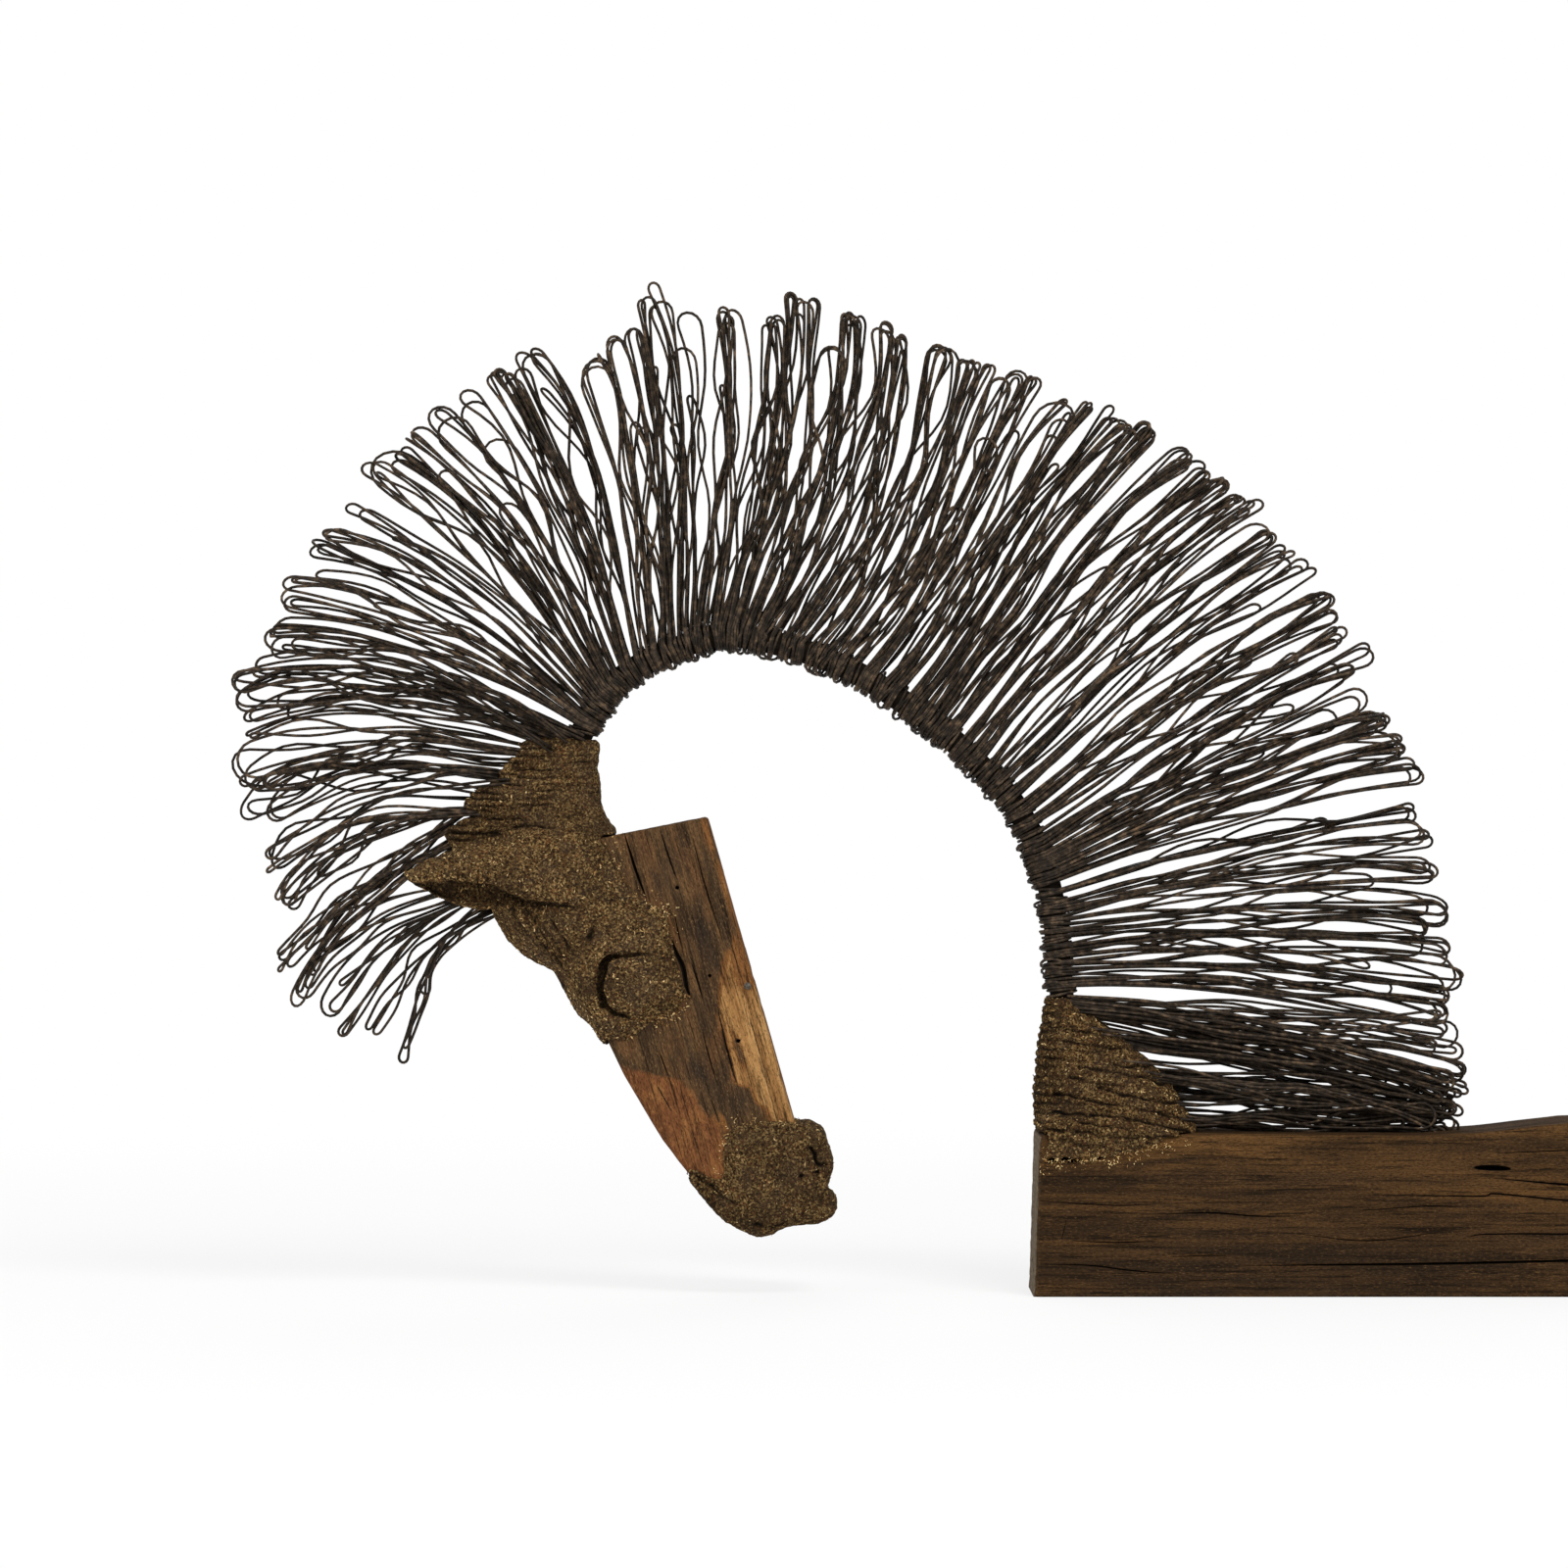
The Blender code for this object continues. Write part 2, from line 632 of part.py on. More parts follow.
def mane(wire, crown, withers):
    row = neck_line()
    names = (f"mane_lock_{i:02d}" for i in range(1, 60))
    upright = Vector((0, 0, LOOP_WIDTH / 2))
    flat = Vector((0, LOOP_WIDTH, 0))
    for root, reach, bend in [*FORELOCK_LOCKS, *POLL_LOCKS]:
        bedded_lock(next(names), head_frame() @ on_plank(*root), reach, bend, upright, crown, wire)
    for number in range(CREST_LOCKS):
        crest_lock(number, next(names), row, wire)
    for share, reach, bend in WITHERS_LOCKS:
        height, _, back, _, _ = between(withers_sections(), share * WITHERS_HEIGHT)
        bedded_lock(next(names), place(back - 0.010, height), reach, bend, flat, withers, wire)


def build():
    clear_scene()
    old_timber = finish("dark timber", (0.075, 0.042, 0.022), 0.75)
    plank = finish("brown plank", (0.12, 0.062, 0.03), 0.75)
    paste = finish("sawdust paste", (0.10, 0.062, 0.028), 0.95)
    wire = finish("annealed wire", (0.035, 0.028, 0.023), 0.5, 0.8)
    _, trunk_room = trunk_timber(old_timber)
    _, head_room = head_timber(plank)
    _, neck_room = neck_winding(wire)
    carving = [f(side) for f in (eye_groove, ear_hollow) for side in (-1, 1)]
    crown = crown_paste(paste, [head_room, neck_room, *carving])
    muzzle_paste(paste, [head_room])
    withers = withers_paste(paste, [trunk_room, neck_room])
    mane(wire, crown, withers)


build()
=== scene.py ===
"""The finish of the wire horse: worn timber, sawdust paste and a mane of looped wire.

Metres, +Z up, the horse faces -X. Places on the figure are given from the chest, and places on the head on
its plank in mm, down from the jaw corner and across it, as the solids are.
"""

import math

import bmesh
import bpy
import numpy as np
from mathutils import Matrix, Vector, noise


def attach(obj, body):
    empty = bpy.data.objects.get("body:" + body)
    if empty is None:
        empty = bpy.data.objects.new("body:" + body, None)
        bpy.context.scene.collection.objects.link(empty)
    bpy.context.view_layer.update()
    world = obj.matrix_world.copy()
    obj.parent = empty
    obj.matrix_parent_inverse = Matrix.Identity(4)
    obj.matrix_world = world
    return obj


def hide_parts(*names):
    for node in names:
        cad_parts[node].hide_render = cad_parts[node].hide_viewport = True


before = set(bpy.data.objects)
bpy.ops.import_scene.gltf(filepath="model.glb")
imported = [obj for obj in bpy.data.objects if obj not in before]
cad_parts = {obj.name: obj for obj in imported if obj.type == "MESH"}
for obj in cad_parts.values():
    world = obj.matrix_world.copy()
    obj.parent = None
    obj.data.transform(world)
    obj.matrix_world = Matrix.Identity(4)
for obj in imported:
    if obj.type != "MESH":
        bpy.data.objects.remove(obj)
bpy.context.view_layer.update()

# The sizes that the solids have
TRUNK_LENGTH = 0.640
TRUNK_HEIGHT = 0.099
TRUNK_DEPTH = 0.090
TRUNK_RISE = 0.010
CHEST_LEAN = 0.003
HEAD_LENGTH = 0.238
HEAD_WIDTH = 0.097
HEAD_THICKNESS = 0.070
HEAD_LEAN = math.radians(16)
JAW_CORNER = (-0.198, 0.192)
WITHERS_HEIGHT = 0.081
NECK_SEAT = 0.012
NECK_TOP = (-69, 61)  # down the plank and across it in mm
NECK_FOOT = 0.019
# The neck's line: shares of the way from the poll to the withers, and of its length out of it
NECK_BOW = [
    (0.00, 0.00), (0.00, 0.05), (0.02, 0.14), (0.08, 0.225), (0.14, 0.285), (0.24, 0.32), (0.36, 0.34),
    (0.49, 0.335), (0.63, 0.31), (0.77, 0.26), (0.88, 0.17), (0.95, 0.075), (1.00, 0.00),
]
CREST_LOCKS = 28
LOCK_SWAY = 0.014
CREST_DROOP = math.radians(20)
WITHERS_DROOP = math.radians(8)
# Shares of the neck, and how far back and up the mane reaches from there
MANE_REACH = [
    (0.00, -0.194, 0.056), (0.02, -0.185, 0.093), (0.04, -0.160, 0.123), (0.07, -0.126, 0.155),
    (0.11, -0.082, 0.186), (0.15, -0.041, 0.198), (0.20, -0.019, 0.210), (0.25, 0.002, 0.208),
    (0.31, 0.022, 0.210), (0.41, 0.033, 0.210), (0.49, 0.057, 0.208), (0.58, 0.105, 0.201),
    (0.66, 0.147, 0.178), (0.745, 0.190, 0.141), (0.80, 0.209, 0.104), (0.875, 0.236, 0.034),
    (0.945, 0.246, -0.004), (1.00, 0.243, -0.027),
]

# The wire
WIRE_RADIUS = 0.0009
WIRE_SIDES = 6
CORE_RADIUS = 0.0074  # what the neck's wire is wound on
WRAP_RADIUS = CORE_RADIUS + WIRE_RADIUS
NECK_WRAPS = 150
STRAND_GAP = 0.013  # between strands that legs draw together to
STRAND_PULL = 0.38
# How much the crest's loops scatter, in m
TUFT_SPREAD = 0.007
ROOT_SCATTER = 0.004
TIP_SCATTER = 0.0020
TIP_SHORTFALL = 0.0045
LEG_SCATTER = 0.0046
STRAND_DRIFT = 0.0022
SHORTER_BY = (0.015, 0.08)
SLACK = 0.0024
LOOP_WIDTH_SPREAD = 0.4
NARROWEST_LOOP = 0.0028
LEGS_APART = 0.003  # a loop's two legs, where they leave the neck
SHORT_LOOPS = 0.12  # of all the loops
LOOSE_TURNS = 0.24
# Along the mane's edge: how strong, where and over what half width
ROOTS_FORWARD = (0.066, 0.57, 0.18)
MIDDLE_TURN = (math.radians(24), 0.48, 0.14)

# The crest's tufts: how far along the mane's edge, how far beyond it, how many loops and how wide, in mm
TUFTS = [
    (2, 0, 4, 12), (24, -2, 3, 10), (40, 1, 3, 8), (48, -12, 2, 9), (64, -1, 3, 13), (76, -3, 3, 7),
    (98, -4, 3, 7), (126, 4, 4, 15), (141, -2, 4, 11), (157, 2, 4, 16), (178, 4, 4, 17), (196, 1, 3, 17),
    (220, -1, 6, 7), (231, -3, 4, 9), (246, 4, 5, 9), (283, -13, 4, 17), (298, -8, 4, 10),
    (311, -10, 4, 11), (322, 13, 4, 6), (330, 3, 3, 14), (344, -9, 3, 17), (371, -7, 6, 6),
    (401, -11, 6, 9), (413, 3, 4, 6), (420, 0, 4, 7), (442, -26, 3, 11), (449, -3, 7, 9),
    (472, -2, 4, 11), (484, -5, 6, 6), (511, -4, 5, 14), (528, -5, 5, 8), (539, -3, 4, 7),
    (552, -10, 4, 13), (561, -3, 4, 8), (569, -3, 4, 7), (595, -9, 6, 9), (608, -6, 4, 8), (621, 0, 4, 6),
    (635, -6, 6, 7), (647, -1, 7, 8), (676, 0, 6, 8), (690, 1, 5, 7), (704, 1, 5, 8), (716, -1, 4, 7),
    (727, 4, 3, 6), (747, -2, 5, 8), (763, -4, 4, 7), (776, 0, 4, 7), (796, -1, 5, 10), (809, -7, 4, 7),
    (821, -6, 5, 7), (840, 6, 3, 13), (848, -9, 5, 7), (868, -10, 4, 11), (883, -3, 8, 8), (902, 0, 7, 8),
    (922, 4, 4, 15), (944, -4, 4, 13), (961, -1, 4, 10), (984, -2, 6, 9), (1008, -2, 5, 16),
    (1020, -14, 3, 12), (1035, -4, 4, 14), (1047, 3, 4, 16), (1060, -5, 5, 12), (1075, -4, 5, 11),
]
# Tufts out of paste: the tip back from the chest and above the trunk in mm, how many loops and how wide,
# and how far they turn in degrees. Roots are places on the plank, but the withers' ones are as the tips.
FORELOCK_ROOTS = [((20, 140), (12, 145)), ((10, 143), (2, 147)), ((-26, 152), (-36, 146))]
FORELOCK_TUFTS = [
    [(-386, 41, 2, 4, 10), (-375, 81, 1, 7, 14), (-406, 51, 2, 5, 12)],
    [(-424, 58, 2, 6, 12), (-436, 68, 2, 8, 16), (-416, 78, 1, 7, 10), (-450, 84, 2, 6, 20),
     (-458, 97, 1, 6, 24)],
    [(-452, 76, 2, 6, 20), (-440, 92, 2, 6, 18), (-463, 100, 3, 6, 18)],
]
FORELOCK_LEADS = (2.2, 1.6, 0.0)
POLL_ROOTS = [
    ((-40, 134), (-47, 126)), ((-55, 119), (-60, 104)), ((-64, 101), (-68, 86)), ((-69, 82), (-64, 58)),
]
POLL_TUFTS = [
    [(-468, 161, 2, 6, 36), (-462, 138, 3, 6, 38), (-456, 133, 2, 7, 34), (-451, 155, 1, 9, 30),
     (-442, 108, 2, 6, 12)],
    [(-484, 193, 2, 12, 28), (-468, 188, 2, 13, 30), (-481, 205, 2, 6, 22), (-470, 170, 2, 8, 30)],
    [(-489, 223, 2, 13, 22), (-470, 212, 2, 10, 26), (-484, 241, 2, 4, 18), (-486, 208, 2, 7, 26)],
    [(-488, 277, 3, 10, 24), (-486, 265, 3, 11, 24), (-476, 283, 2, 7, 26), (-464, 259, 2, 10, 22),
     (-484, 250, 2, 6, 22), (-472, 291, 2, 8, 27), (-462, 300, 2, 9, 25)],
]
WITHERS_TUFTS = [
    [(267, 22, 4, 8, 6), (262, 29, 4, 7, 6), (256, 18, 3, 8, 6), (268, 38, 3, 10, 6),
     (250, 47, 2, 8, 5), (264, 53, 3, 9, 5), (243, 27, 2, 8, 6), (258, 63, 3, 7, 4)],
    [(265, 17, 4, 9, 4), (256, 24, 3, 9, 4), (248, 15, 3, 7, 4), (238, 28, 2, 8, 4)],
    [(262, 13, 4, 9, 2), (250, 17, 3, 9, 2), (255, 8, 3, 7, 2), (234, 15, 2, 8, 2)],
    [(258, 8, 3, 8, 1), (241, 9, 3, 8, 1), (266, 12, 2, 6, 1)],
    [(262, 4, 5, 7, 0), (248, 4, 4, 7, 0), (230, 6, 3, 8, 0)],
]
WITHERS_ROOTS = [
    ((20, 82), (30, 70)), ((34, 63), (44, 50)), ((48, 46), (58, 33)), ((62, 28), (72, 17)),
    ((74, 12), (82, 5)),
]
WITHERS_DEPTHS = (0.009, 0.013, 0.017, 0.020, 0.024)


# Colours


def as_light(shade):
    """A grey from 0 to 1, or a colour given from 0 to 255, as light."""
    if not isinstance(shade, tuple):
        return [shade, shade, shade, 1]
    parts = [part / 255 for part in shade]
    return [part / 12.92 if part < 0.04 else ((part + 0.055) / 1.055) ** 2.4 for part in parts] + [1]


# Places and lines

LENGTHWAYS = np.array([1.0, 0.0, 0.0])
SIDEWAYS = np.array([0.0, 1.0, 0.0])
UPWARDS = np.array([0.0, 0.0, 1.0])


def place(x, z):
    """A point in the figure's middle plane, given from the chest, in the world."""
    return Vector((x - TRUNK_LENGTH / 2, 0, TRUNK_HEIGHT + z))


def head_frame():
    """The jaw corner: z up the plank, x towards the throat."""
    return Matrix.Translation(place(*JAW_CORNER)) @ Matrix.Rotation(-HEAD_LEAN, 4, "Y")


def on_plank(down, across, y=0.0):
    """A point of the head in the head's frame, from mm."""
    return Vector((-across / 1000, y, -down / 1000))


def smooth_line(points, steps=12):
    """A close row of points on a smooth curve through the given ones."""
    points = np.array(points, float)
    ends = np.vstack([2 * points[0] - points[1], points, 2 * points[-1] - points[-2]])
    t = (np.arange(steps) / steps)[:, None]
    row = []
    for a, b, c, d in zip(ends, ends[1:], ends[2:], ends[3:]):
        bend = 2 * a - 5 * b + 4 * c - d
        twist = 3 * b - a - 3 * c + d
        row.extend(0.5 * (2 * b + (c - a) * t + bend * t**2 + twist * t**3))
    return np.array([*row, points[-1]])


def at_shares(row, shares):
    """The points at shares of a row's length, and the directions there."""
    spans = np.linalg.norm(np.diff(row, axis=0), axis=1)
    reached = np.append(0, np.cumsum(spans)) / spans.sum()
    shares = np.atleast_1d(shares)
    points = np.stack([np.interp(shares, reached, column) for column in row.T], axis=1)
    step = np.clip(np.searchsorted(reached, shares) - 1, 0, len(spans) - 1)
    return points, (row[step + 1] - row[step]) / spans[step, None]


def neck_line():
    """The free part of the winding's centre line, from the poll to the withers."""
    top = head_frame() @ on_plank(*NECK_TOP)
    run = place(NECK_FOOT, WITHERS_HEIGHT) - top
    out = Vector((-run.z, 0, run.x))
    return smooth_line([top + run * along + out * bow for along, bow in NECK_BOW])


def unit(vectors):
    return vectors / np.linalg.norm(vectors, axis=-1, keepdims=True)


def rise(values, low, high):
    """From 0 at low to 1 at high, without corners."""
    t = np.clip((values - low) / (high - low), 0, 1)
    return t * t * (3 - 2 * t)


def bell(values, middle, half_width):
    """1 in the middle, and softly down to 0 on both sides."""
    return np.exp(-(((values - middle) / half_width) ** 2))


def read_off(line, values):
    """The second column of a table of pairs, at values of the first."""
    return np.interp(values, *zip(*line))


def patches(across, up, rows):
    """Soft patches on a face, added up: how strong each is, its middle and half its width both ways."""
    return sum(strong * bell(across, a, wide) * bell(up, b, tall) for strong, a, wide, b, tall in rows)


# Meshes


def mesh_of(name, points, faces):
    """A mesh whose faces all have as many corners."""
    mesh = bpy.data.meshes.new(name)
    mesh.vertices.add(len(points))
    mesh.vertices.foreach_set("co", np.asarray(points, np.float32).ravel())
    mesh.loops.add(faces.size)
    mesh.loops.foreach_set("vertex_index", faces.astype(np.int32).ravel())
    mesh.polygons.add(len(faces))
    mesh.polygons.foreach_set("loop_start", np.arange(0, faces.size, faces.shape[1], dtype=np.int32))
    mesh.update(calc_edges=True)
    return mesh


def linked(name, data):
    """A new object in the scene."""
    item = bpy.data.objects.new(name, data)
    bpy.context.scene.collection.objects.link(item)
    return item


def add_piece(name, mesh, materials, nodes, matrix=None):
    """Shows a mesh in the place of solids."""
    item = linked(name, mesh)
    if matrix is not None:
        item.matrix_world = matrix
    for material in materials:
        mesh.materials.append(material)
    mesh.shade_smooth()
    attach(item, "root")
    if nodes:
        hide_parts(*nodes)


def corners_of(mesh):
    spots = np.empty(len(mesh.vertices) * 3, np.float32)
    mesh.vertices.foreach_get("co", spots)
    return spots.reshape(-1, 3).astype(float)


def normals_of(mesh):
    normals = np.empty(len(mesh.vertices) * 3, np.float32)
    mesh.vertex_normals.foreach_get("vector", normals)
    return normals.reshape(-1, 3).astype(float)


def set_corners(mesh, points):
    mesh.vertices.foreach_set("co", points.astype(np.float32).ravel())
    mesh.update()


def bumps(points, scale, seed):
    """Smooth noise between -1 and 1 at each point. The scale is a length for each axis."""
    scaled = points / np.asarray(scale) + seed
    return np.array([noise.noise(Vector(spot)) for spot in scaled])


def layers(points, *rows):
    """Layers of smooth noise, added up: the height, the scale and the seed of each."""
    return sum(height * bumps(points, scale, seed) for height, scale, seed in rows)


def shown_mesh(item):
    bpy.context.view_layer.update()
    return bpy.data.meshes.new_from_object(item.evaluated_get(bpy.context.evaluated_depsgraph_get()))


def block(counts):
    """The outside of a box of cells: points from 0 to 1 on each axis, and its square faces."""
    steps = [np.arange(count + 1) for count in counts]
    lattice = np.stack(np.meshgrid(*steps, indexing="ij"), axis=-1)
    outside = ((lattice == 0) | (lattice == np.array(counts))).any(axis=-1)
    number = np.full(outside.shape, -1)
    number[outside] = np.arange(outside.sum())
    sides = []
    for low, high in (
        (number[0].T, number[-1]),
        (number[:, 0], number[:, -1].T),
        (number[:, :, 0].T, number[:, :, -1]),
    ):
        for side in (low, high):
            sides.append(np.stack([side[:-1, :-1], side[1:, :-1], side[1:, 1:], side[:-1, 1:]], axis=-1))
    faces = np.vstack([side.reshape(-1, 4) for side in sides])
    return lattice[outside] / np.array(counts), faces


def sweep(paths, radius, sides, closed):
    """Round tubes along paths that all have as many points: their points and faces."""
    count, steps, _ = paths.shape
    if closed:
        ways = np.roll(paths, -1, axis=1) - np.roll(paths, 1, axis=1)
    else:
        ways = np.gradient(paths, axis=1)
    ways = unit(ways)
    first = np.cross(ways[:, 0], [0.31, 0.22, 0.93])
    normals = [unit(first)]
    for i in range(1, steps + 1):
        way = ways[:, i % steps]
        turned = normals[-1] - way * np.sum(normals[-1] * way, axis=1, keepdims=True)
        normals.append(unit(turned))
    last = normals.pop()
    normals = np.stack(normals, axis=1)
    others = np.cross(ways, normals)
    left = np.zeros(count)
    if closed:
        left = np.arctan2(np.sum(last * others[:, 0], axis=1), np.sum(last * normals[:, 0], axis=1))
    angles = 2 * math.pi * np.arange(sides) / sides
    turn = angles[None, None, :] - (left[:, None] * np.arange(steps) / steps)[:, :, None]
    radius = np.broadcast_to(radius, (count, steps))[:, :, None, None]
    rings = np.cos(turn)[..., None] * normals[:, :, None] + np.sin(turn)[..., None] * others[:, :, None]
    points = paths[:, :, None] + radius * rings
    number = np.arange(count * steps * sides).reshape(count, steps, sides)
    after = np.roll(number, -1, axis=1) if closed else number[:, 1:]
    here = number if closed else number[:, :-1]
    faces = [np.stack([here, np.roll(here, -1, axis=2), np.roll(after, -1, axis=2), after], axis=-1)]
    if not closed:
        for end, order in ((number[:, 0], (3, 2, 1, 0)), (number[:, -1], (0, 1, 2, 3))):
            for i in range(1, sides - 1, 2):
                cap = np.stack([end[:, 0], end[:, i], end[:, i + 1], end[:, (i + 2) % sides]])
                faces.append(cap[list(order)].T)
    return points.reshape(-1, 3), np.vstack([part.reshape(-1, 4) for part in faces])


def joined(parts):
    """Several (points, faces) as one."""
    points, faces, start = [], [], 0
    for some_points, some_faces in parts:
        points.append(some_points)
        faces.append(some_faces + start)
        start += len(some_points)
    return np.vstack(points), np.vstack(faces)


# Materials


class Finish:
    """A material, with short names for the nodes that it is made of."""

    def __init__(self, name, roughness, metallic=0.0, gloss=0.15):
        self.material = bpy.data.materials.new(name)
        self.material.use_nodes = True
        self.tree = self.material.node_tree
        self.shader = self.tree.nodes["Principled BSDF"]
        self.shader.inputs["Roughness"].default_value = roughness
        self.shader.inputs["Metallic"].default_value = metallic
        self.shader.inputs["Specular IOR Level"].default_value = gloss
        self.shader.inputs["Specular Tint"].default_value = (1.0, 0.86, 0.72, 1)
        self.spot = self.node("TexCoord", {}).outputs["Object"]

    def put(self, socket, value):
        if isinstance(value, bpy.types.NodeSocket):
            self.tree.links.new(value, socket)
        else:
            socket.default_value = value

    def node(self, kind, settings, *values, **inputs):
        """A new node. Its inputs, in order or by name, get values or what other nodes give."""
        node = self.tree.nodes.new("ShaderNode" + kind)
        for name, value in settings.items():
            setattr(node, name, value)
        named = [(node.inputs[name.replace("_", " ")], value) for name, value in inputs.items()]
        for socket, value in [*zip(node.inputs, values), *named]:
            self.put(socket, value)
        return node

    def stretched(self, scale, stretch=(1, 1, 1)):
        scales = [scale * part for part in stretch]
        return self.node("Mapping", {}, Vector=self.spot, Scale=scales).outputs["Vector"]

    def noise(self, scale, detail, roughness=0.55, distortion=0.0, stretch=(1, 1, 1)):
        place = self.stretched(scale, stretch)
        named = {"Detail": detail, "Roughness": roughness, "Distortion": distortion}
        return self.node("TexNoise", {}, Vector=place, Scale=1.0, **named).outputs["Fac"]

    def cells(self, scale):
        """A shade of its own in each small cell."""
        return self.node("TexVoronoi", {}, Vector=self.stretched(scale), Scale=1.0).outputs["Color"]

    def rings(self, scale, middle):
        """Uneven growth rings round a line along X."""
        place = self.node("Mapping", {}, Vector=self.spot, Location=middle).outputs["Vector"]
        named = {"Scale": scale, "Distortion": 4.0, "Detail": 3.0, "Detail_Scale": 0.5}
        waves = self.node("TexWave", {"wave_type": "RINGS", "rings_direction": "X"}, Vector=place, **named)
        return waves.outputs["Fac"]

    def mask(self, name):
        return self.node("Attribute", {"attribute_name": name}).outputs["Fac"]

    def ramp(self, value, *stops):
        """Greys or colours by a value. Each stop says where it is and its shade."""
        node = self.node("ValToRGB", {}, value)
        marks = node.color_ramp.elements
        marks[0].position, marks[1].position = stops[0][0], stops[-1][0]
        for position, _ in stops[1:-1]:
            marks.new(position)
        for mark, (_, shade) in zip(marks, stops):
            mark.color = as_light(shade)
        return node.outputs["Color"]

    def sum(self, first, second, operation="ADD"):
        return self.node("Math", {"operation": operation}, first, second).outputs[0]

    def over(self, tone, shade, value, *stops):
        """A tone that gives way to another shade by a value, or by what stops make of it."""
        share = self.ramp(value, *stops) if stops else value
        shade = as_light(shade) if isinstance(shade, tuple) else shade
        return self.node("Mix", {"data_type": "RGBA"}, Factor=share, A=tone, B=shade).outputs["Result"]

    def paint(self, shade):
        self.put(self.shader.inputs["Base Color"], shade)

    def relief(self, height, depth, strength):
        bump = self.node("Bump", {}, Height=height, Distance=depth, Strength=strength)
        self.put(self.shader.inputs["Normal"], bump.outputs["Normal"])


def trunk_finish():
    """Dark old hardwood: long brown streaks, golden where it is worn, with fine open grain."""
    wood = Finish("old timber", 0.85, 0.0, 0.08)
    streaks = wood.noise(85, 6, 0.66, 0.9, (0.07, 1, 1))
    browns = [(0.28, (34, 25, 16)), (0.44, (56, 40, 25)), (0.56, (78, 55, 32)), (0.72, (98, 69, 39))]
    tone = wood.ramp(streaks, *browns)
    broad = wood.noise(11, 3, 0.55, 0.6, (0.45, 1, 1))
    tone = wood.over(tone, (38, 27, 17), broad, (0.40, 0.0), (0.62, 0.75))
    patchy = wood.ramp(wood.noise(60, 5, 0.68, 0.8, (0.14, 1, 1)), (0.36, 0.0), (0.62, 1.0))
    tone = wood.over(tone, (114, 80, 44), wood.sum(wood.mask("worn"), patchy, "MULTIPLY"))
    # Grime and painted shade: a dirty smear, and darker patches low on the sides
    tone = wood.over(tone, (40, 31, 24), wood.mask("grime_and_shade"))
    lines = wood.noise(520, 4, 0.72, 0.3, (0.035, 1, 1))
    tone = wood.over(tone, (20, 14, 8), lines, (0.36, 0.9), (0.50, 0.0))
    pores = wood.noise(1500, 3, 0.7, 0.0, (0.3, 1, 1))
    tone = wood.over(tone, (24, 17, 10), pores, (0.34, 0.8), (0.50, 0.0))
    tone = wood.over(tone, (132, 98, 58), pores, (0.58, 0.0), (0.74, 0.55))
    # The sawn ends: rings in pale grey, partly the end grain's own colour and partly painted light on the
    # end faces
    sawn = wood.ramp(wood.rings(95, (0, -0.014, -0.028)), (0.10, (98, 85, 69)), (0.80, (128, 113, 93)))
    sawn = wood.over(sawn, (70, 58, 45), wood.noise(320, 4, 0.7), (0.36, 0.75), (0.60, 0.0))
    wood.paint(wood.over(tone, sawn, wood.mask("end")))
    wood.relief(wood.sum(lines, wood.sum(streaks, 0.7, "MULTIPLY")), 0.0012, 0.9)
    return wood.material


def plank_finish():
    """A dark weathered plank, worn to bare yellow wood by the throat and stained red by the nose."""
    wood = Finish("brown plank", 0.85, 0.0, 0.08)
    streaks = wood.noise(190, 6, 0.68, 0.7, (1, 1, 0.09))
    browns = [(0.30, (38, 27, 17)), (0.43, (66, 50, 34)), (0.56, (94, 70, 46)), (0.70, (124, 91, 57))]
    tone = wood.ramp(streaks, *browns)
    broad = wood.noise(38, 4, 0.6, 0.6, (1, 1, 0.55))
    tone = wood.over(tone, (54, 43, 33), broad, (0.44, 0.0), (0.60, 0.6))
    warm = wood.noise(60, 4, 0.65, 0.6, (1, 1, 0.3))
    tone = wood.over(tone, (114, 76, 46), warm, (0.50, 0.0), (0.66, 0.4))
    blotch = wood.sum(wood.mask("grime_and_shade"), wood.sum(wood.noise(110, 4, 0.7, 0.5, (1, 1, 0.25)), -0.5))
    tone = wood.over(tone, (42, 36, 31), blotch, (0.30, 0.0), (0.70, 0.85))
    tear = wood.sum(wood.noise(190, 6, 0.75, 0.8, (1, 1, 0.12)), -0.5)
    bare = wood.sum(wood.mask("bare"), wood.sum(tear, 1.5, "MULTIPLY"))
    tone = wood.over(tone, (132, 86, 46), bare, (0.22, 0.0), (0.40, 0.8))
    yellows = [(0.30, (84, 55, 30)), (0.42, (134, 94, 54)), (0.56, (174, 129, 78)), (0.72, (200, 160, 108))]
    yellow = wood.ramp(wood.noise(230, 6, 0.72, 0.5, (1, 1, 0.07)), *yellows)
    tone = wood.over(tone, yellow, bare, (0.54, 0.0), (0.64, 1.0))
    stain = wood.sum(wood.mask("stain"), wood.sum(wood.noise(80, 5, 0.7), -0.5))
    reds = [(0.30, (82, 49, 30)), (0.50, (122, 76, 45)), (0.70, (150, 102, 58))]
    red = wood.ramp(wood.noise(110, 6, 0.7, 0.3, (1, 1, 0.5)), *reds)
    tone = wood.over(tone, red, stain, (0.34, 0.0), (0.62, 0.92))
    lines = wood.noise(640, 4, 0.72, 0.3, (1, 1, 0.045))
    tone = wood.over(tone, (26, 19, 12), lines, (0.35, 0.9), (0.49, 0.0))
    pores = wood.noise(1500, 3, 0.7, 0.0, (1, 1, 0.3))
    tone = wood.over(tone, (30, 21, 13), pores, (0.34, 0.75), (0.50, 0.0))
    tone = wood.over(tone, (176, 138, 92), pores, (0.58, 0.0), (0.74, 0.5))
    wood.paint(tone)
    wood.relief(wood.sum(lines, wood.sum(streaks, 0.6, "MULTIPLY")), 0.0012, 0.9)
    return wood.material


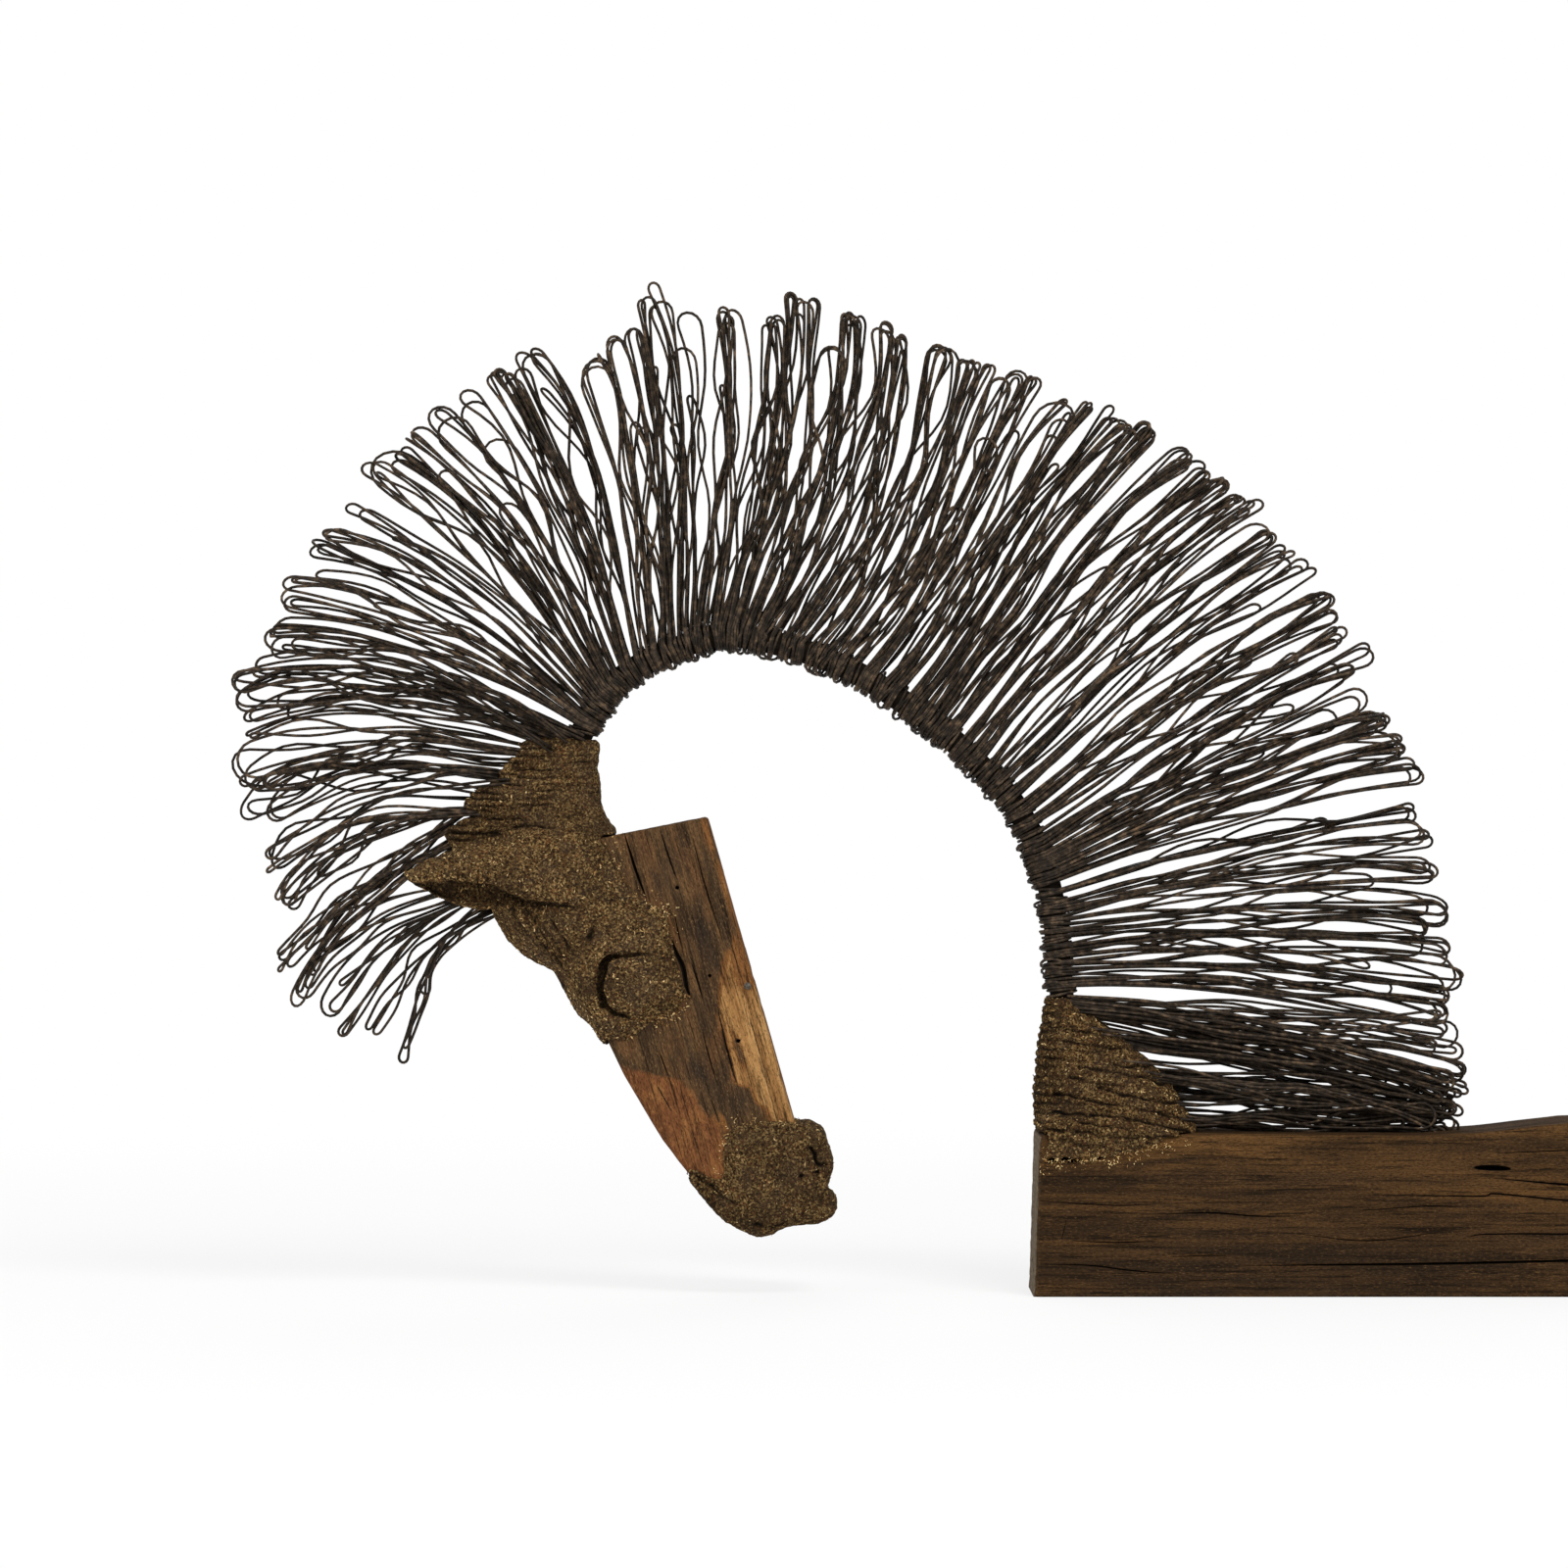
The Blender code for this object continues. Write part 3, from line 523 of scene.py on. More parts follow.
def paste_finish():
    """Sawdust and glue: fine crumbs of every brown, with painted shade between them, in grooves and pits."""
    paste = Finish("sawdust paste", 0.95, 0.0, 0.05)
    grains = paste.sum(paste.sum(paste.cells(1000), -0.5), 0.4, "MULTIPLY")
    crumb = paste.sum(paste.noise(620, 4, 0.85), grains)
    browns = [(0.32, (30, 23, 16)), (0.42, (62, 47, 31)), (0.50, (96, 75, 47)), (0.58, (130, 103, 64))]
    tone = paste.ramp(crumb, *browns, (0.68, (198, 164, 108)))
    tone = paste.over(tone, (122, 76, 46), paste.noise(480, 3, 0.7), (0.52, 0.0), (0.64, 0.68))
    tone = paste.over(tone, (82, 67, 54), paste.noise(70, 4, 0.65), (0.46, 0.0), (0.62, 0.42))
    tone = paste.over(tone, (46, 35, 24), paste.noise(45, 4, 0.65), (0.38, 0.45), (0.56, 0.0))
    # Painted shade, near-black, where the deep mask says: between crumbs, in grooves and pits
    paste.paint(paste.over(tone, (14, 10, 7), paste.mask("deep")))
    paste.relief(crumb, 0.0030, 1.0)
    return paste.material


def fibre_finish():
    """Slivers of wood, from straw to brown."""
    straw = Finish("wood slivers", 0.85)
    straws = [(0.26, (78, 55, 30)), (0.42, (120, 86, 48)), (0.60, (178, 136, 82)), (0.78, (240, 208, 148))]
    straw.paint(straw.ramp(straw.cells(420), *straws))
    return straw.material


# Painted shade: near-black for the insides of cracks and holes, and for the neck's core between its wraps
def crack_shade_finish():
    dark = Finish("crack", 0.95)
    dark.paint(dark.ramp(dark.noise(300, 2), (0.3, (8, 6, 4)), (0.7, (24, 17, 11))))
    return dark.material


def nail_finish():
    steel = Finish("nail", 0.5, 0.4, 0.4)
    steel.paint(steel.ramp(steel.noise(900, 3), (0.35, (52, 48, 43)), (0.65, (106, 98, 88))))
    return steel.material


def wire_finish():
    """Annealed iron: nearly black scale, browner where it is worn. Some wires are darker than others."""
    wire = Finish("annealed wire", 0.6, 0.0, 0.18)
    browns = [(0.34, (28, 23, 19)), (0.48, (52, 43, 35)), (0.58, (80, 66, 52)), (0.74, (122, 98, 74))]
    tone = wire.ramp(wire.noise(240, 3, 0.6), *browns)
    wire.paint(wire.over(tone, (11, 9, 7), wire.mask("own"), (0.0, 0.80), (1.0, 0.0)))
    rough = wire.ramp(wire.noise(260, 2), (0.35, 0.42), (0.65, 0.70))
    wire.put(wire.shader.inputs["Roughness"], rough)
    wire.relief(wire.noise(1500, 3, 0.6), 0.0002, 0.6)
    return wire.material


# Timber

LIP = 0.0015  # how far a crack's room stands out of its face
WORN_EDGE = 0.0034


def rounded(points, half, radius):
    """Points on a box with its edges and corners rounded."""
    inner = np.clip(points, -(half - radius), half - radius)
    off = points - inner
    length = np.linalg.norm(off, axis=1, keepdims=True)
    return inner + off / np.maximum(length, 1e-9) * np.minimum(length, radius)


def box_shape(counts, size, radius):
    """A finely divided box with worn edges, from its low corner."""
    shares, faces = block(counts)
    half = np.array(size) / 2
    return rounded((shares * 2 - 1) * half, half, radius) + half, faces


def wedge(line, out, width, depth, blunt=0.6, floor=0.15):
    """A closed lens along a line on a face: the room of a crack that is open towards out."""
    line = smooth_line(line, 6)
    across = np.cross(unit(np.gradient(line, axis=0)), out)
    swell = np.sin(math.pi * np.linspace(0.01, 0.99, len(line)))[:, None] ** blunt
    half = width / 2 * swell
    top, bottom = line + out * LIP, line - out * depth * (0.2 + 0.8 * swell)
    rings = [top + across * half * 1.15, top - across * half * 1.15]
    rings += [bottom - across * half * floor, bottom + across * half * floor]
    points = np.stack(rings, axis=1)
    number = np.arange(len(line) * 4).reshape(-1, 4)
    after = np.roll(number, -1, axis=1)
    sides = np.stack([number[:-1], number[1:], after[1:], after[:-1]], axis=-1).reshape(-1, 4)
    return points.reshape(-1, 3), np.vstack([sides, number[:1], number[-1:, ::-1]])


def wedges_of(cracks, on_face, out, *shape):
    """The rooms of a table's cracks, whose places in m on_face takes to the face."""
    rooms = []
    for line, width, depth in cracks:
        line = [on_face(a / 1000, b / 1000) for a, b in line]
        rooms.append(wedge(line, out, width / 1000, depth / 1000, *shape))
    return rooms


def cracked(mesh, wedges, crack):
    """The mesh with cracks cut into it, painted near-black inside as shade."""
    room = mesh_of("cracks", *joined(wedges))
    room.materials.append(crack)
    item, cutter = linked("timber", mesh), linked("cracks", room)
    step = item.modifiers.new("cracks", "BOOLEAN")
    step.operation = "DIFFERENCE"
    step.solver = "EXACT"
    step.material_mode = "TRANSFER"
    step.object = cutter
    cut = shown_mesh(item)
    bpy.data.objects.remove(item)
    bpy.data.objects.remove(cutter)
    return cut


def set_mask(mesh, name, values):
    mask = mesh.attributes.new(name, "FLOAT", "POINT")
    mask.data.foreach_set("value", np.clip(values, 0, 1).astype(np.float32))


# On the trunk's near side, back from the chest and up in mm, then width and depth
TRUNK_CRACKS = [
    ([(3, 58), (47, 55.5), (71, 56)], 0.9, 4),
    ([(74, 50), (107, 51), (134, 49), (161, 49)], 1.1, 5),
    ([(23, 34), (50, 33), (77, 34)], 0.9, 4),
    ([(4, 20), (35, 19), (59, 16), (86, 14)], 1.1, 5),
    ([(83, 24), (101, 25), (119, 25)], 0.8, 3),
    ([(125, 19), (233, 20), (329, 22), (402, 23)], 1.7, 8),
    ([(92, 10), (119, 10.5)], 0.7, 3),
    ([(203, 62), (269, 61), (281, 62.5), (329, 58), (380, 57)], 1.1, 5),
    ([(194, 52), (238, 55), (257, 54.5)], 0.8, 4),
    ([(161, 38), (203, 34), (245, 39)], 0.8, 4),
    ([(263, 36), (275, 38), (329, 38), (395, 36)], 1.0, 5),
    ([(278, 72), (323, 68), (360, 65), (430, 64)], 1.5, 7),
    ([(281, 87), (329, 89), (372, 90)], 0.9, 4),
    ([(420, 45), (490, 43), (560, 46)], 1.2, 6),
    ([(455, 78), (520, 80), (600, 79)], 1.4, 7),
    ([(440, 15), (520, 17), (612, 14)], 1.2, 6),
    ([(20, 47), (18.5, 41), (17, 34.8)], 0.8, 1.5),
]
TRUNK_SLOT = ([(267, 78.4), (278, 78.2), (289, 77.6)], 3.0, 12)
# The far side isn't in the photograph
TRUNK_FAR_CRACKS = [
    ([(3, 70), (60, 68), (122, 71)], 1.3, 6),
    ([(30, 44), (95, 45), (170, 42)], 1.0, 5),
    ([(12, 22), (70, 24), (150, 21)], 1.2, 5),
    ([(150, 60), (240, 57), (330, 61)], 1.6, 8),
    ([(190, 31), (300, 33), (410, 30)], 1.3, 6),
    ([(225, 83), (300, 86), (370, 85)], 1.0, 5),
    ([(350, 50), (450, 47), (545, 50)], 1.5, 7),
    ([(430, 74), (520, 77), (610, 75)], 1.2, 6),
    ([(445, 20), (540, 18), (622, 22)], 1.1, 5),
]
TRUNK_TOP_CRACKS = [
    ([(300, 12), (380, 9), (470, 14)], 1.2, 5),
    ([(420, -20), (500, -17), (600, -22)], 1.5, 6),
    ([(215, -32), (290, -30), (350, -33)], 1.0, 4),
]
# On both ends, sideways and up in mm
TRUNK_END_CRACKS = [
    ([(12, 34), (2, 52), (-14, 72)], 1.5, 7),
    ([(17, 24), (26, 14)], 1.0, 5),
    ([(5, 24), (-12, 17), (-26, 14)], 1.0, 5),
    ([(21, 36), (27, 52)], 0.8, 4),
]
# Shares of the trunk's length, and of its rise
TRUNK_BACK = [(0, 0), (0.16, 0), (0.37, -0.1), (0.43, 0.15), (0.51, 0.75), (0.66, 1), (1, 0.8)]
# Soft patches on its sides in mm, as patches takes them
TRUNK_GOLD = [
    (0.9, 95, 85, 89, 10), (0.5, 330, 110, 66, 20), (0.25, 210, 50, 88, 9), (0.25, 450, 110, 70, 16),
    (0.4, 270, 80, 46, 12),
]
# Darker on the near side: painted shade low down by the chest, and a thin darker band higher up
TRUNK_SHADE = [(0.5, 130, 110, 12, 26), (0.55, 150, 90, 71, 6)]
# Painted shade low on both sides, further back
TRUNK_FOOT_PAINTED_SHADE = [(0.35, 420, 200, 20, 30)]


def trunk_top(x):
    """How high the trunk's back is."""
    return TRUNK_HEIGHT + read_off(TRUNK_BACK, x / TRUNK_LENGTH) * TRUNK_RISE


def trunk_piece(wood, crack):
    size = (TRUNK_LENGTH, TRUNK_DEPTH, TRUNK_HEIGHT + WORN_EDGE)
    points, faces = box_shape((210, 48, 62), size, WORN_EDGE)
    points[:, 2] = np.maximum(points[:, 2] - WORN_EDGE, 0)  # cut square below
    x, y, z = points.T.copy()
    up = z / TRUNK_HEIGHT
    points[:, 2] = up * trunk_top(x)
    points[:, 1] -= TRUNK_DEPTH / 2
    points[:, 0] += CHEST_LEAN * up * (1 - rise(x, 0, 0.02)) - TRUNK_LENGTH / 2
    mesh = mesh_of("trunk", points, faces)
    normals = normals_of(mesh)
    sawn = rise(np.abs(normals[:, 0]), 0.6, 0.9)
    edge = bell(np.minimum(y, TRUNK_DEPTH - y), 0, 0.006) * rise(up, 0.88, 1.0)
    grain = layers(points, (0.00030, (0.09, 0.0050, 0.0050), 3.1), (0.00060, (0.19, 0.018, 0.018), 8.4))
    saw = layers(points, (0.00030, (0.01, 0.0055, 0.0055), 0.0), (0.00025, (0.01, 0.03, 0.0035), 2.7))
    worn = np.maximum(0, bumps(points, (0.045, 0.03, 0.03), 5.2) + 0.1) * edge * 0.0022
    depth = np.where(sawn > 0.5, saw, grain) - 0.0003 - worn
    points += normals * (depth * rise(z, 0.0005, 0.006))[:, None]
    set_corners(mesh, points)
    near = rise(-points[:, 1], 0.02, 0.04)
    back, high = x * 1000, z * 1000
    set_mask(mesh, "worn", (patches(back, high, TRUNK_GOLD) + 0.3 * edge) * (0.5 + 0.5 * near))
    # Grime and painted shade: a dirty smear, the darker patches on the near side, and shade low on both
    # sides
    smear = rise(back, 50, 58) * (1 - rise(back, 99, 104)) * bell(high, 81.8 + 0.1 * (back - 75), 1.4)
    grime_and_shade = (0.8 * smear + patches(back, high, TRUNK_SHADE)) * near
    set_mask(mesh, "grime_and_shade", grime_and_shade + patches(back, high, TRUNK_FOOT_PAINTED_SHADE))
    set_mask(mesh, "end", sawn)
    front, near_side = -TRUNK_LENGTH / 2, -TRUNK_DEPTH / 2
    wedges = wedges_of(TRUNK_CRACKS, lambda a, b: (front + a, near_side, b), -SIDEWAYS)
    wedges += wedges_of([TRUNK_SLOT], lambda a, b: (front + a, near_side, b), -SIDEWAYS, 0.35, 0.9)
    wedges += wedges_of(TRUNK_FAR_CRACKS, lambda a, b: (front + a, -near_side, b), SIDEWAYS)
    wedges += wedges_of(TRUNK_TOP_CRACKS, lambda a, b: (front + a, b, trunk_top(a)), UPWARDS)
    wedges += wedges_of(TRUNK_END_CRACKS, lambda a, b: (front, a, b), -LENGTHWAYS)
    wedges += wedges_of(TRUNK_END_CRACKS, lambda a, b: (-front, -a, b), LENGTHWAYS)
    mesh.materials.append(wood)
    add_piece("trunk", cracked(mesh, wedges, crack), [], ["trunk_timber"])


# On the plank's near side, down it and across it in mm, then width and depth
PLANK_CRACKS = [
    ([(-4, 51), (20, 50.5), (39, 49)], 1.8, 7),
    ([(-1, 29.5), (18, 29), (32, 28)], 1.2, 5),
    ([(50, 35), (61, 36), (73, 36.4)], 1.0, 4),
    ([(83, 33.6), (95, 33), (107, 33)], 1.1, 5),
    ([(66, 41.0), (74, 40.8), (84, 39.2), (96, 40.4), (104, 39.8)], 3.6, 4.5),
    ([(127, 67.4), (145, 66)], 0.9, 4),
    ([(124, 38.4), (141, 39), (159, 38.7)], 1.0, 4),
    ([(110, 25.4), (135, 27), (160, 27.6)], 0.9, 4),
    ([(10, 12), (40, 12.5), (80, 11.5)], 0.9, 4),
    ([(150, 74), (166, 70)], 0.8, 3),
    ([(165, 45), (180, 44)], 0.8, 3),
]
# Down the plank and across it in mm: its forehead edge, and the edges of its bare wood and its red stain
PLANK_WIDTHS = [(0, 97), (112, 97), (140, 92), (184, 80), (211, 69), (236, 45), (238, 44)]
BARE_EDGE = [
    (60, -6), (72, 3), (79, 8), (91, 18), (106, 22), (117, 27), (126, 27), (139, 25.6), (148, 27),
    (161, 27.5), (166, 20), (174, 18), (180, 13.7), (188, 13.5), (194, 6), (200, -6),
]
STAIN_EDGE = [(110, 100), (122, 97), (135, 86), (150, 57), (170, 50), (187, 42), (205, 36), (230, 30)]
# Soft patches in mm, as patches takes them
PLANK_BARE_SPOTS = [(0.5, 181, 9, 44, 6), (0.36, 6, 22, 2, 7)]
PLANK_GRIME = [(0.62, 66, 34, 22, 10), (0.6, 147, 14, 47, 10), (0.6, 173, 11, 28, 9), (0.5, 30, 20, 40, 10)]
# Down the plank and across it in mm, and how wide
PLANK_HOLES = [(36.5, 29.3, 2.4), (93.3, 25.0, 2.2), (136.2, 19.3, 2.4)]
PLANK_FAR_CRACKS = [
    ([(-4, 40), (25, 41), (52, 42)], 1.5, 6),
    ([(0, 20), (30, 19), (66, 20)], 1.1, 5),
    ([(70, 12), (105, 13), (140, 12)], 1.0, 5),
    ([(90, 30), (125, 31), (168, 29)], 1.2, 5),
    ([(130, 62), (155, 60)], 0.9, 4),
]
NAIL = (105.7, 4.6)


def plank_piece(wood, crack):
    points, faces = box_shape((56, 34, 140), (HEAD_WIDTH, HEAD_THICKNESS, HEAD_LENGTH), 0.0022)
    x, y, z = points.T.copy()
    down, share = HEAD_LENGTH - z, 1 - x / HEAD_WIDTH
    far_edge = read_off(PLANK_WIDTHS, down * 1000) / 1000
    across = far_edge * share + 0.004 * (1 - share) * rise(down, 0.20, 0.238)
    down = down - 0.008 * share * (1 - down / HEAD_LENGTH)
    points = np.stack([-across, y - HEAD_THICKNESS / 2, -down], axis=1)
    mesh = mesh_of("head_plank", points, faces)
    normals = normals_of(mesh)
    sawn = rise(np.abs(normals[:, 2]), 0.7, 0.95)
    grain = layers(points, (0.00032, (0.0042, 0.0042, 0.075), 1.3), (0.0004, (0.016, 0.016, 0.14), 4.4))
    saw = 0.00035 * bumps(points, (0.0045, 0.0045, 0.01), 6.1)
    chips = np.maximum(0, bumps(points, 0.014, 2.2) - 0.1) * bell(share, 0, 0.05) * 0.0022
    points += normals * (grain * (1 - sawn) + saw * sawn - 0.0002 - chips)[:, None]
    set_corners(mesh, points)
    a, c = down * 1000, across * 1000
    near = rise(-points[:, 1], 0.01, 0.034)
    bare = rise(read_off(BARE_EDGE, a) - c, -5, 5) * (0.42 + 0.58 * rise(a + 0.5 * c, 98, 128))
    bare *= 1 - 0.8 * bell(a, 142, 15) * bell(c, 20.5, 3)
    strip = 0.45 * rise(3.0 - c, -2.0, 2.5) * rise(a, 12, 40)
    bare = np.maximum(bare * (0.25 + 0.75 * near), strip)
    set_mask(mesh, "bare", np.maximum(bare, patches(a, c, PLANK_BARE_SPOTS)))
    set_mask(mesh, "stain", rise(c - read_off(STAIN_EDGE, a), -9, 12) * (0.4 + 0.6 * near))
    # On the plank this mask holds only grime: dark grey weathered patches
    set_mask(mesh, "grime_and_shade", patches(a, c, PLANK_GRIME))
    near_side = -HEAD_THICKNESS / 2
    holes = [([(a - wide / 2, c), (a + wide / 2, c)], wide, 6) for a, c, wide in PLANK_HOLES]
    wedges = wedges_of(PLANK_CRACKS, lambda a, b: (-b, near_side, -a), -SIDEWAYS)
    wedges += wedges_of(holes, lambda a, b: (-b, near_side, -a), -SIDEWAYS, 0.5, 0.8)
    wedges += wedges_of(PLANK_FAR_CRACKS, lambda a, b: (-b, -near_side, -a), SIDEWAYS)
    mesh.materials.append(wood)
    add_piece("head_plank", cracked(mesh, wedges, crack), [], ["head_timber"], head_frame())


def nail_piece(steel):
    """The head of a nail by the throat."""
    shape = bmesh.new()
    bmesh.ops.create_uvsphere(shape, u_segments=20, v_segments=12, radius=0.0022)
    shape.verts.index_update()
    points = [corner.co for corner in shape.verts]
    faces = [[corner.index for corner in face.verts] for face in shape.faces]
    mesh = bpy.data.meshes.new("nail")
    mesh.from_pydata(points, [], sorted(faces))  # in the same order each run
    shape.free()
    mesh.transform(Matrix.Diagonal((1, 0.45, 1, 1)))
    spot = head_frame() @ Matrix.Translation(on_plank(*NAIL, -HEAD_THICKNESS / 2 - 0.0001))
    add_piece("nail", mesh, [steel], [], spot)


# Paste

# Grooves down the plank and across it in mm, then width and depth
EAR_LINE = [(-11, 187), (-8, 180), (-4, 161), (2, 142), (11, 130), (18, 120), (24, 107), (31, 90)]
CROWN_GROOVES = [
    (EAR_LINE, 1.5, 1.6),
    ([(70, 57), (68, 68), (65.6, 80)], 1.0, 2.2),
    ([(66.5, 81), (69, 84.5), (76.5, 89), (84, 91.5), (92, 91)], 1.9, 4.0),
    ([(92, 91), (99, 87), (104, 79)], 1.3, 2.4),
    ([(48, 86), (51, 89)], 2.2, 2.0),
    ([(24, 122), (40, 116), (62, 111)], 1.3, 1.4),
    ([(20, 126), (38, 121), (60, 114)], 1.3, 1.3),
    ([(30, 117), (45, 111), (58, 108)], 1.3, 1.3),
    ([(16, 131), (30, 128), (48, 121)], 1.3, 1.3),
    ([(34, 109), (48, 104), (60, 101)], 1.4, 1.4),
    ([(62, 121), (68, 117), (75, 113)], 1.8, 1.6),
    ([(-40, 123), (-36, 106), (-33, 97)], 1.0, 1.1),
    ([(-33, 152), (-29, 136), (-26.5, 125)], 1.2, 2.0),
    ([(-26, 118), (-24, 104), (-20, 91)], 1.1, 1.4),
    ([(-20, 90), (-15, 82), (-13, 70)], 1.0, 0.8),
    ([(-28, 152), (-26, 137), (-25, 125)], 1.1, 1.7),
    ([(-38, 146), (-35, 135), (-33, 120)], 0.9, 1.2),
    ([(-63, 105), (-58, 95), (-52, 85)], 2.0, 1.0),
    ([(-18, 118), (-14, 106), (-9, 97)], 0.9, 0.7),
    ([(-4, 84), (-1, 70), (2, 60)], 0.9, 0.6),
]
# Between the wires that leave the poll: the height, half the width and the depth in m
POLL_NOTCHES = [
    (0.3135, 0.0036, 0.0070), (0.2905, 0.0040, 0.0080), (0.331, 0.0028, 0.0040), (0.306, 0.0024, -0.0022),
]
POLL_RIM = [(-70, 80), (-64, 101), (-60, 108), (-55, 119), (-47, 127), (-40, 136), (-34, 144)]
# Round pits, down the plank and across it in mm, and how deep they are
EAR_PITS = [(-8, 155), (-6, 151), (-3, 144), (-1, 138), (2, 132)]
EAR_PIT_DEPTH = 0.0018
PUPIL = (77, 79)
MUZZLE_GROOVES = [
    ([(210, -5), (214, -7), (218.5, -6.3), (221.5, -8), (223, -12)], 1.2, 2.4),
    ([(206, 68), (215, 60), (225, 54.5), (231, 47)], 1.3, 1.5),
    ([(246, 40), (249, 35), (251, 29), (251, 23)], 1.8, 1.2),
]
# Along the muzzle's low side, where shade is painted: down the plank and across it in mm
LOW_BAND = [(214, 68), (230, 58), (243, 46), (249, 32)]
NOSTRIL_PITS = [(225.2, 4.6), (225, -5.1)]
NOSTRIL_DEPTH = 0.0030
# Where the paste ends on the plank's face, in mm
CROWN_EDGE = [
    (-6, 55), (16, 61), (35, 56), (47, 38), (70, 42), (86, 41), (100, 42), (108, 51), (111, 67),
    (119, 80), (119, 98),
]
MUZZLE_EDGE = [
    (196, -2), (189, 17), (185, 32), (189, 40), (199, 48), (212, 50), (215, 54), (207, 62), (200, 72),
]
# On the cone, back from the chest and above the trunk in mm, then width and depth
WITHERS_GROOVES = [
    ([(10, 64), (32, 61), (44, 58)], 1.0, 1.5),
    ([(19, 55), (34, 53), (42, 52), (55, 51)], 1.1, 1.8),
    ([(20, 50), (40, 49)], 0.9, 0.8),
    ([(49, 42), (59, 40), (73, 40)], 1.0, 1.6),
    ([(28, 41), (44, 37), (66, 34), (80, 29)], 1.1, 1.7),
    ([(22, 34), (40, 30), (56, 29)], 1.1, 1.6),
    ([(40, 28), (61, 22), (82, 19), (96, 17)], 1.2, 1.9),
    ([(13, 24), (34, 20), (59, 16), (78, 12), (92, 8)], 1.1, 1.8),
    ([(16, 20.5), (32, 16), (47, 13)], 1.0, 1.4),
    ([(13, 13), (26, 11.5), (52, 10), (73, 6), (94, 2)], 1.2, 1.9),
    ([(28, 7), (48, 4.5), (59, 3)], 1.0, 1.5),
    ([(7, 3), (17, 2), (32, 1), (47, -2), (73, -2), (90, -3)], 1.1, 1.6),
    ([(16, -3.5), (30, -7), (47, -9)], 1.2, 1.6),
    ([(12, 44), (20, 43.5), (30, 43)], 0.9, 0.9),
    ([(12, 70), (24, 68), (32, 67)], 0.9, 0.9),
]
WITHERS_GROOVE_SHARE = 0.85
# From ridge to ridge and how deep: round the withers' cone, and across the poll
SCALLOP_HEIGHT = 0.0054
SCALLOP_DEPTH = 0.0011
RIDGE_HEIGHT = 0.0043
RIDGE_DEPTH = 0.0025
# Strewn crumbs on the trunk's sides: back from the chest, and up in m
WITHERS_FOOT = [(0, 0.078), (0.01, 0.082), (0.06, 0.086), (0.097, 0.097)]
PASTE_FILM = 0.0002  # off a face of timber
SLIVER_LIFT = 0.0001
UNCUT = 0.0004  # slivers lie where less than this is cut away
# How many slivers, how long and how thick
CROWN_SLIVERS = (2600, 0.0018, 0.00050)
MUZZLE_SLIVERS = (560, 0.0014, 0.00042)
WITHERS_SLIVERS = (2200, 0.0014, 0.00044)
STREWN_ON_TRUNK = 420


def from_line(flat, line):
    """How far each flat point is from a smooth line."""
    line = smooth_line(line, 5)
    nearest = np.full(len(flat), np.inf)
    for a, b in zip(line, line[1:]):
        t = np.clip((flat - a) @ (b - a) / max((b - a) @ (b - a), 1e-12), 0, 1)
        nearest = np.minimum(nearest, np.linalg.norm(flat - a - t[:, None] * (b - a), axis=1))
    return nearest


def fine_copy(node, grain, softness):
    """The mesh of a solid with small even faces, in its own coordinates."""
    copy = linked("paste", bpy.data.objects[node].data.copy())
    weld = copy.modifiers.new("weld", "WELD")
    weld.merge_threshold = 1e-5
    even = copy.modifiers.new("even faces", "REMESH")
    even.mode = "VOXEL"
    even.voxel_size = grain
    soft = copy.modifiers.new("soft", "SMOOTH")
    soft.iterations = softness
    mesh = shown_mesh(copy)
    bpy.data.objects.remove(copy)
    mesh.materials.clear()
    return mesh


def scattered(spots, normals, length, thickness, lift, look):
    """Slivers that lie on a surface or stick out of it a little: thin closed prisms."""
    count = len(spots)
    way = look.normal(0, 1, (count, 3))
    lie = look.uniform(0.6, 1.0, (count, 1))
    way = unit(way - normals * np.sum(way * normals, axis=1, keepdims=True) * lie)
    long = length * np.exp(look.normal(0, 0.35, (count, 1)))
    curl = np.cross(way, normals) * long * look.normal(0, 0.16, (count, 1))
    rows = []
    for part in (-0.5, 0.0, 0.5):
        rows.append(spots + way * long * part + curl * (1 - 4 * part**2) + normals * lift)
    radius = thickness / 2 * np.exp(look.normal(0, 0.3, (count, 1))) * np.array([0.5, 1.0, 0.5])
    return sweep(np.stack(rows, axis=1), radius, 4, False)


def slivers_on(mesh, shown, count, length, thickness, look):
    """Slivers at random places of a mesh where it shows."""
    points, normals = corners_of(mesh)[shown], normals_of(mesh)[shown]
    chosen = look.integers(len(points), size=count)
    return scattered(points[chosen], normals[chosen], length, thickness, SLIVER_LIFT, look)


def strewn_on_faces(rows, length, thickness, look):
    """Crumbs that lie flat on the near and the far faces of timber."""
    spots = np.vstack(rows)
    return scattered(spots, np.sign(spots) * SIDEWAYS, length, thickness, 0.0, look)


def add_slivers(name, parts, straw, matrix=None):
    add_piece(name, mesh_of(name, *joined(parts)), [straw], [], matrix)


def along_edge(line, count, drift, look):
    """Flat points strewn along a line, on both sides of it."""
    spots, ways = at_shares(smooth_line(line, 6), look.random(count))
    return spots + np.stack([-ways[:, 1], ways[:, 0]], axis=1) * look.normal(0, drift, (count, 1))


def dig(flat, grooves):
    """How deep the grooves are at flat points in mm."""
    total = np.zeros(len(flat))
    for line, width, depth in grooves:
        total = np.maximum(total, depth / 1000 * bell(from_line(flat, line), 0, width))
    return total


def dig_pits(cut, flat, pits, depth):
    """What is cut away, with round pits in it too."""
    for pit in pits:
        cut = np.maximum(cut, depth * bell(np.linalg.norm(flat - pit, axis=1), 0, 1.5))
    return cut


def outer_faces(points, normals, low, high):
    """1 where the paste faces sideways."""
    return rise(normals[:, 1] * np.sign(points[:, 1]), low, high)


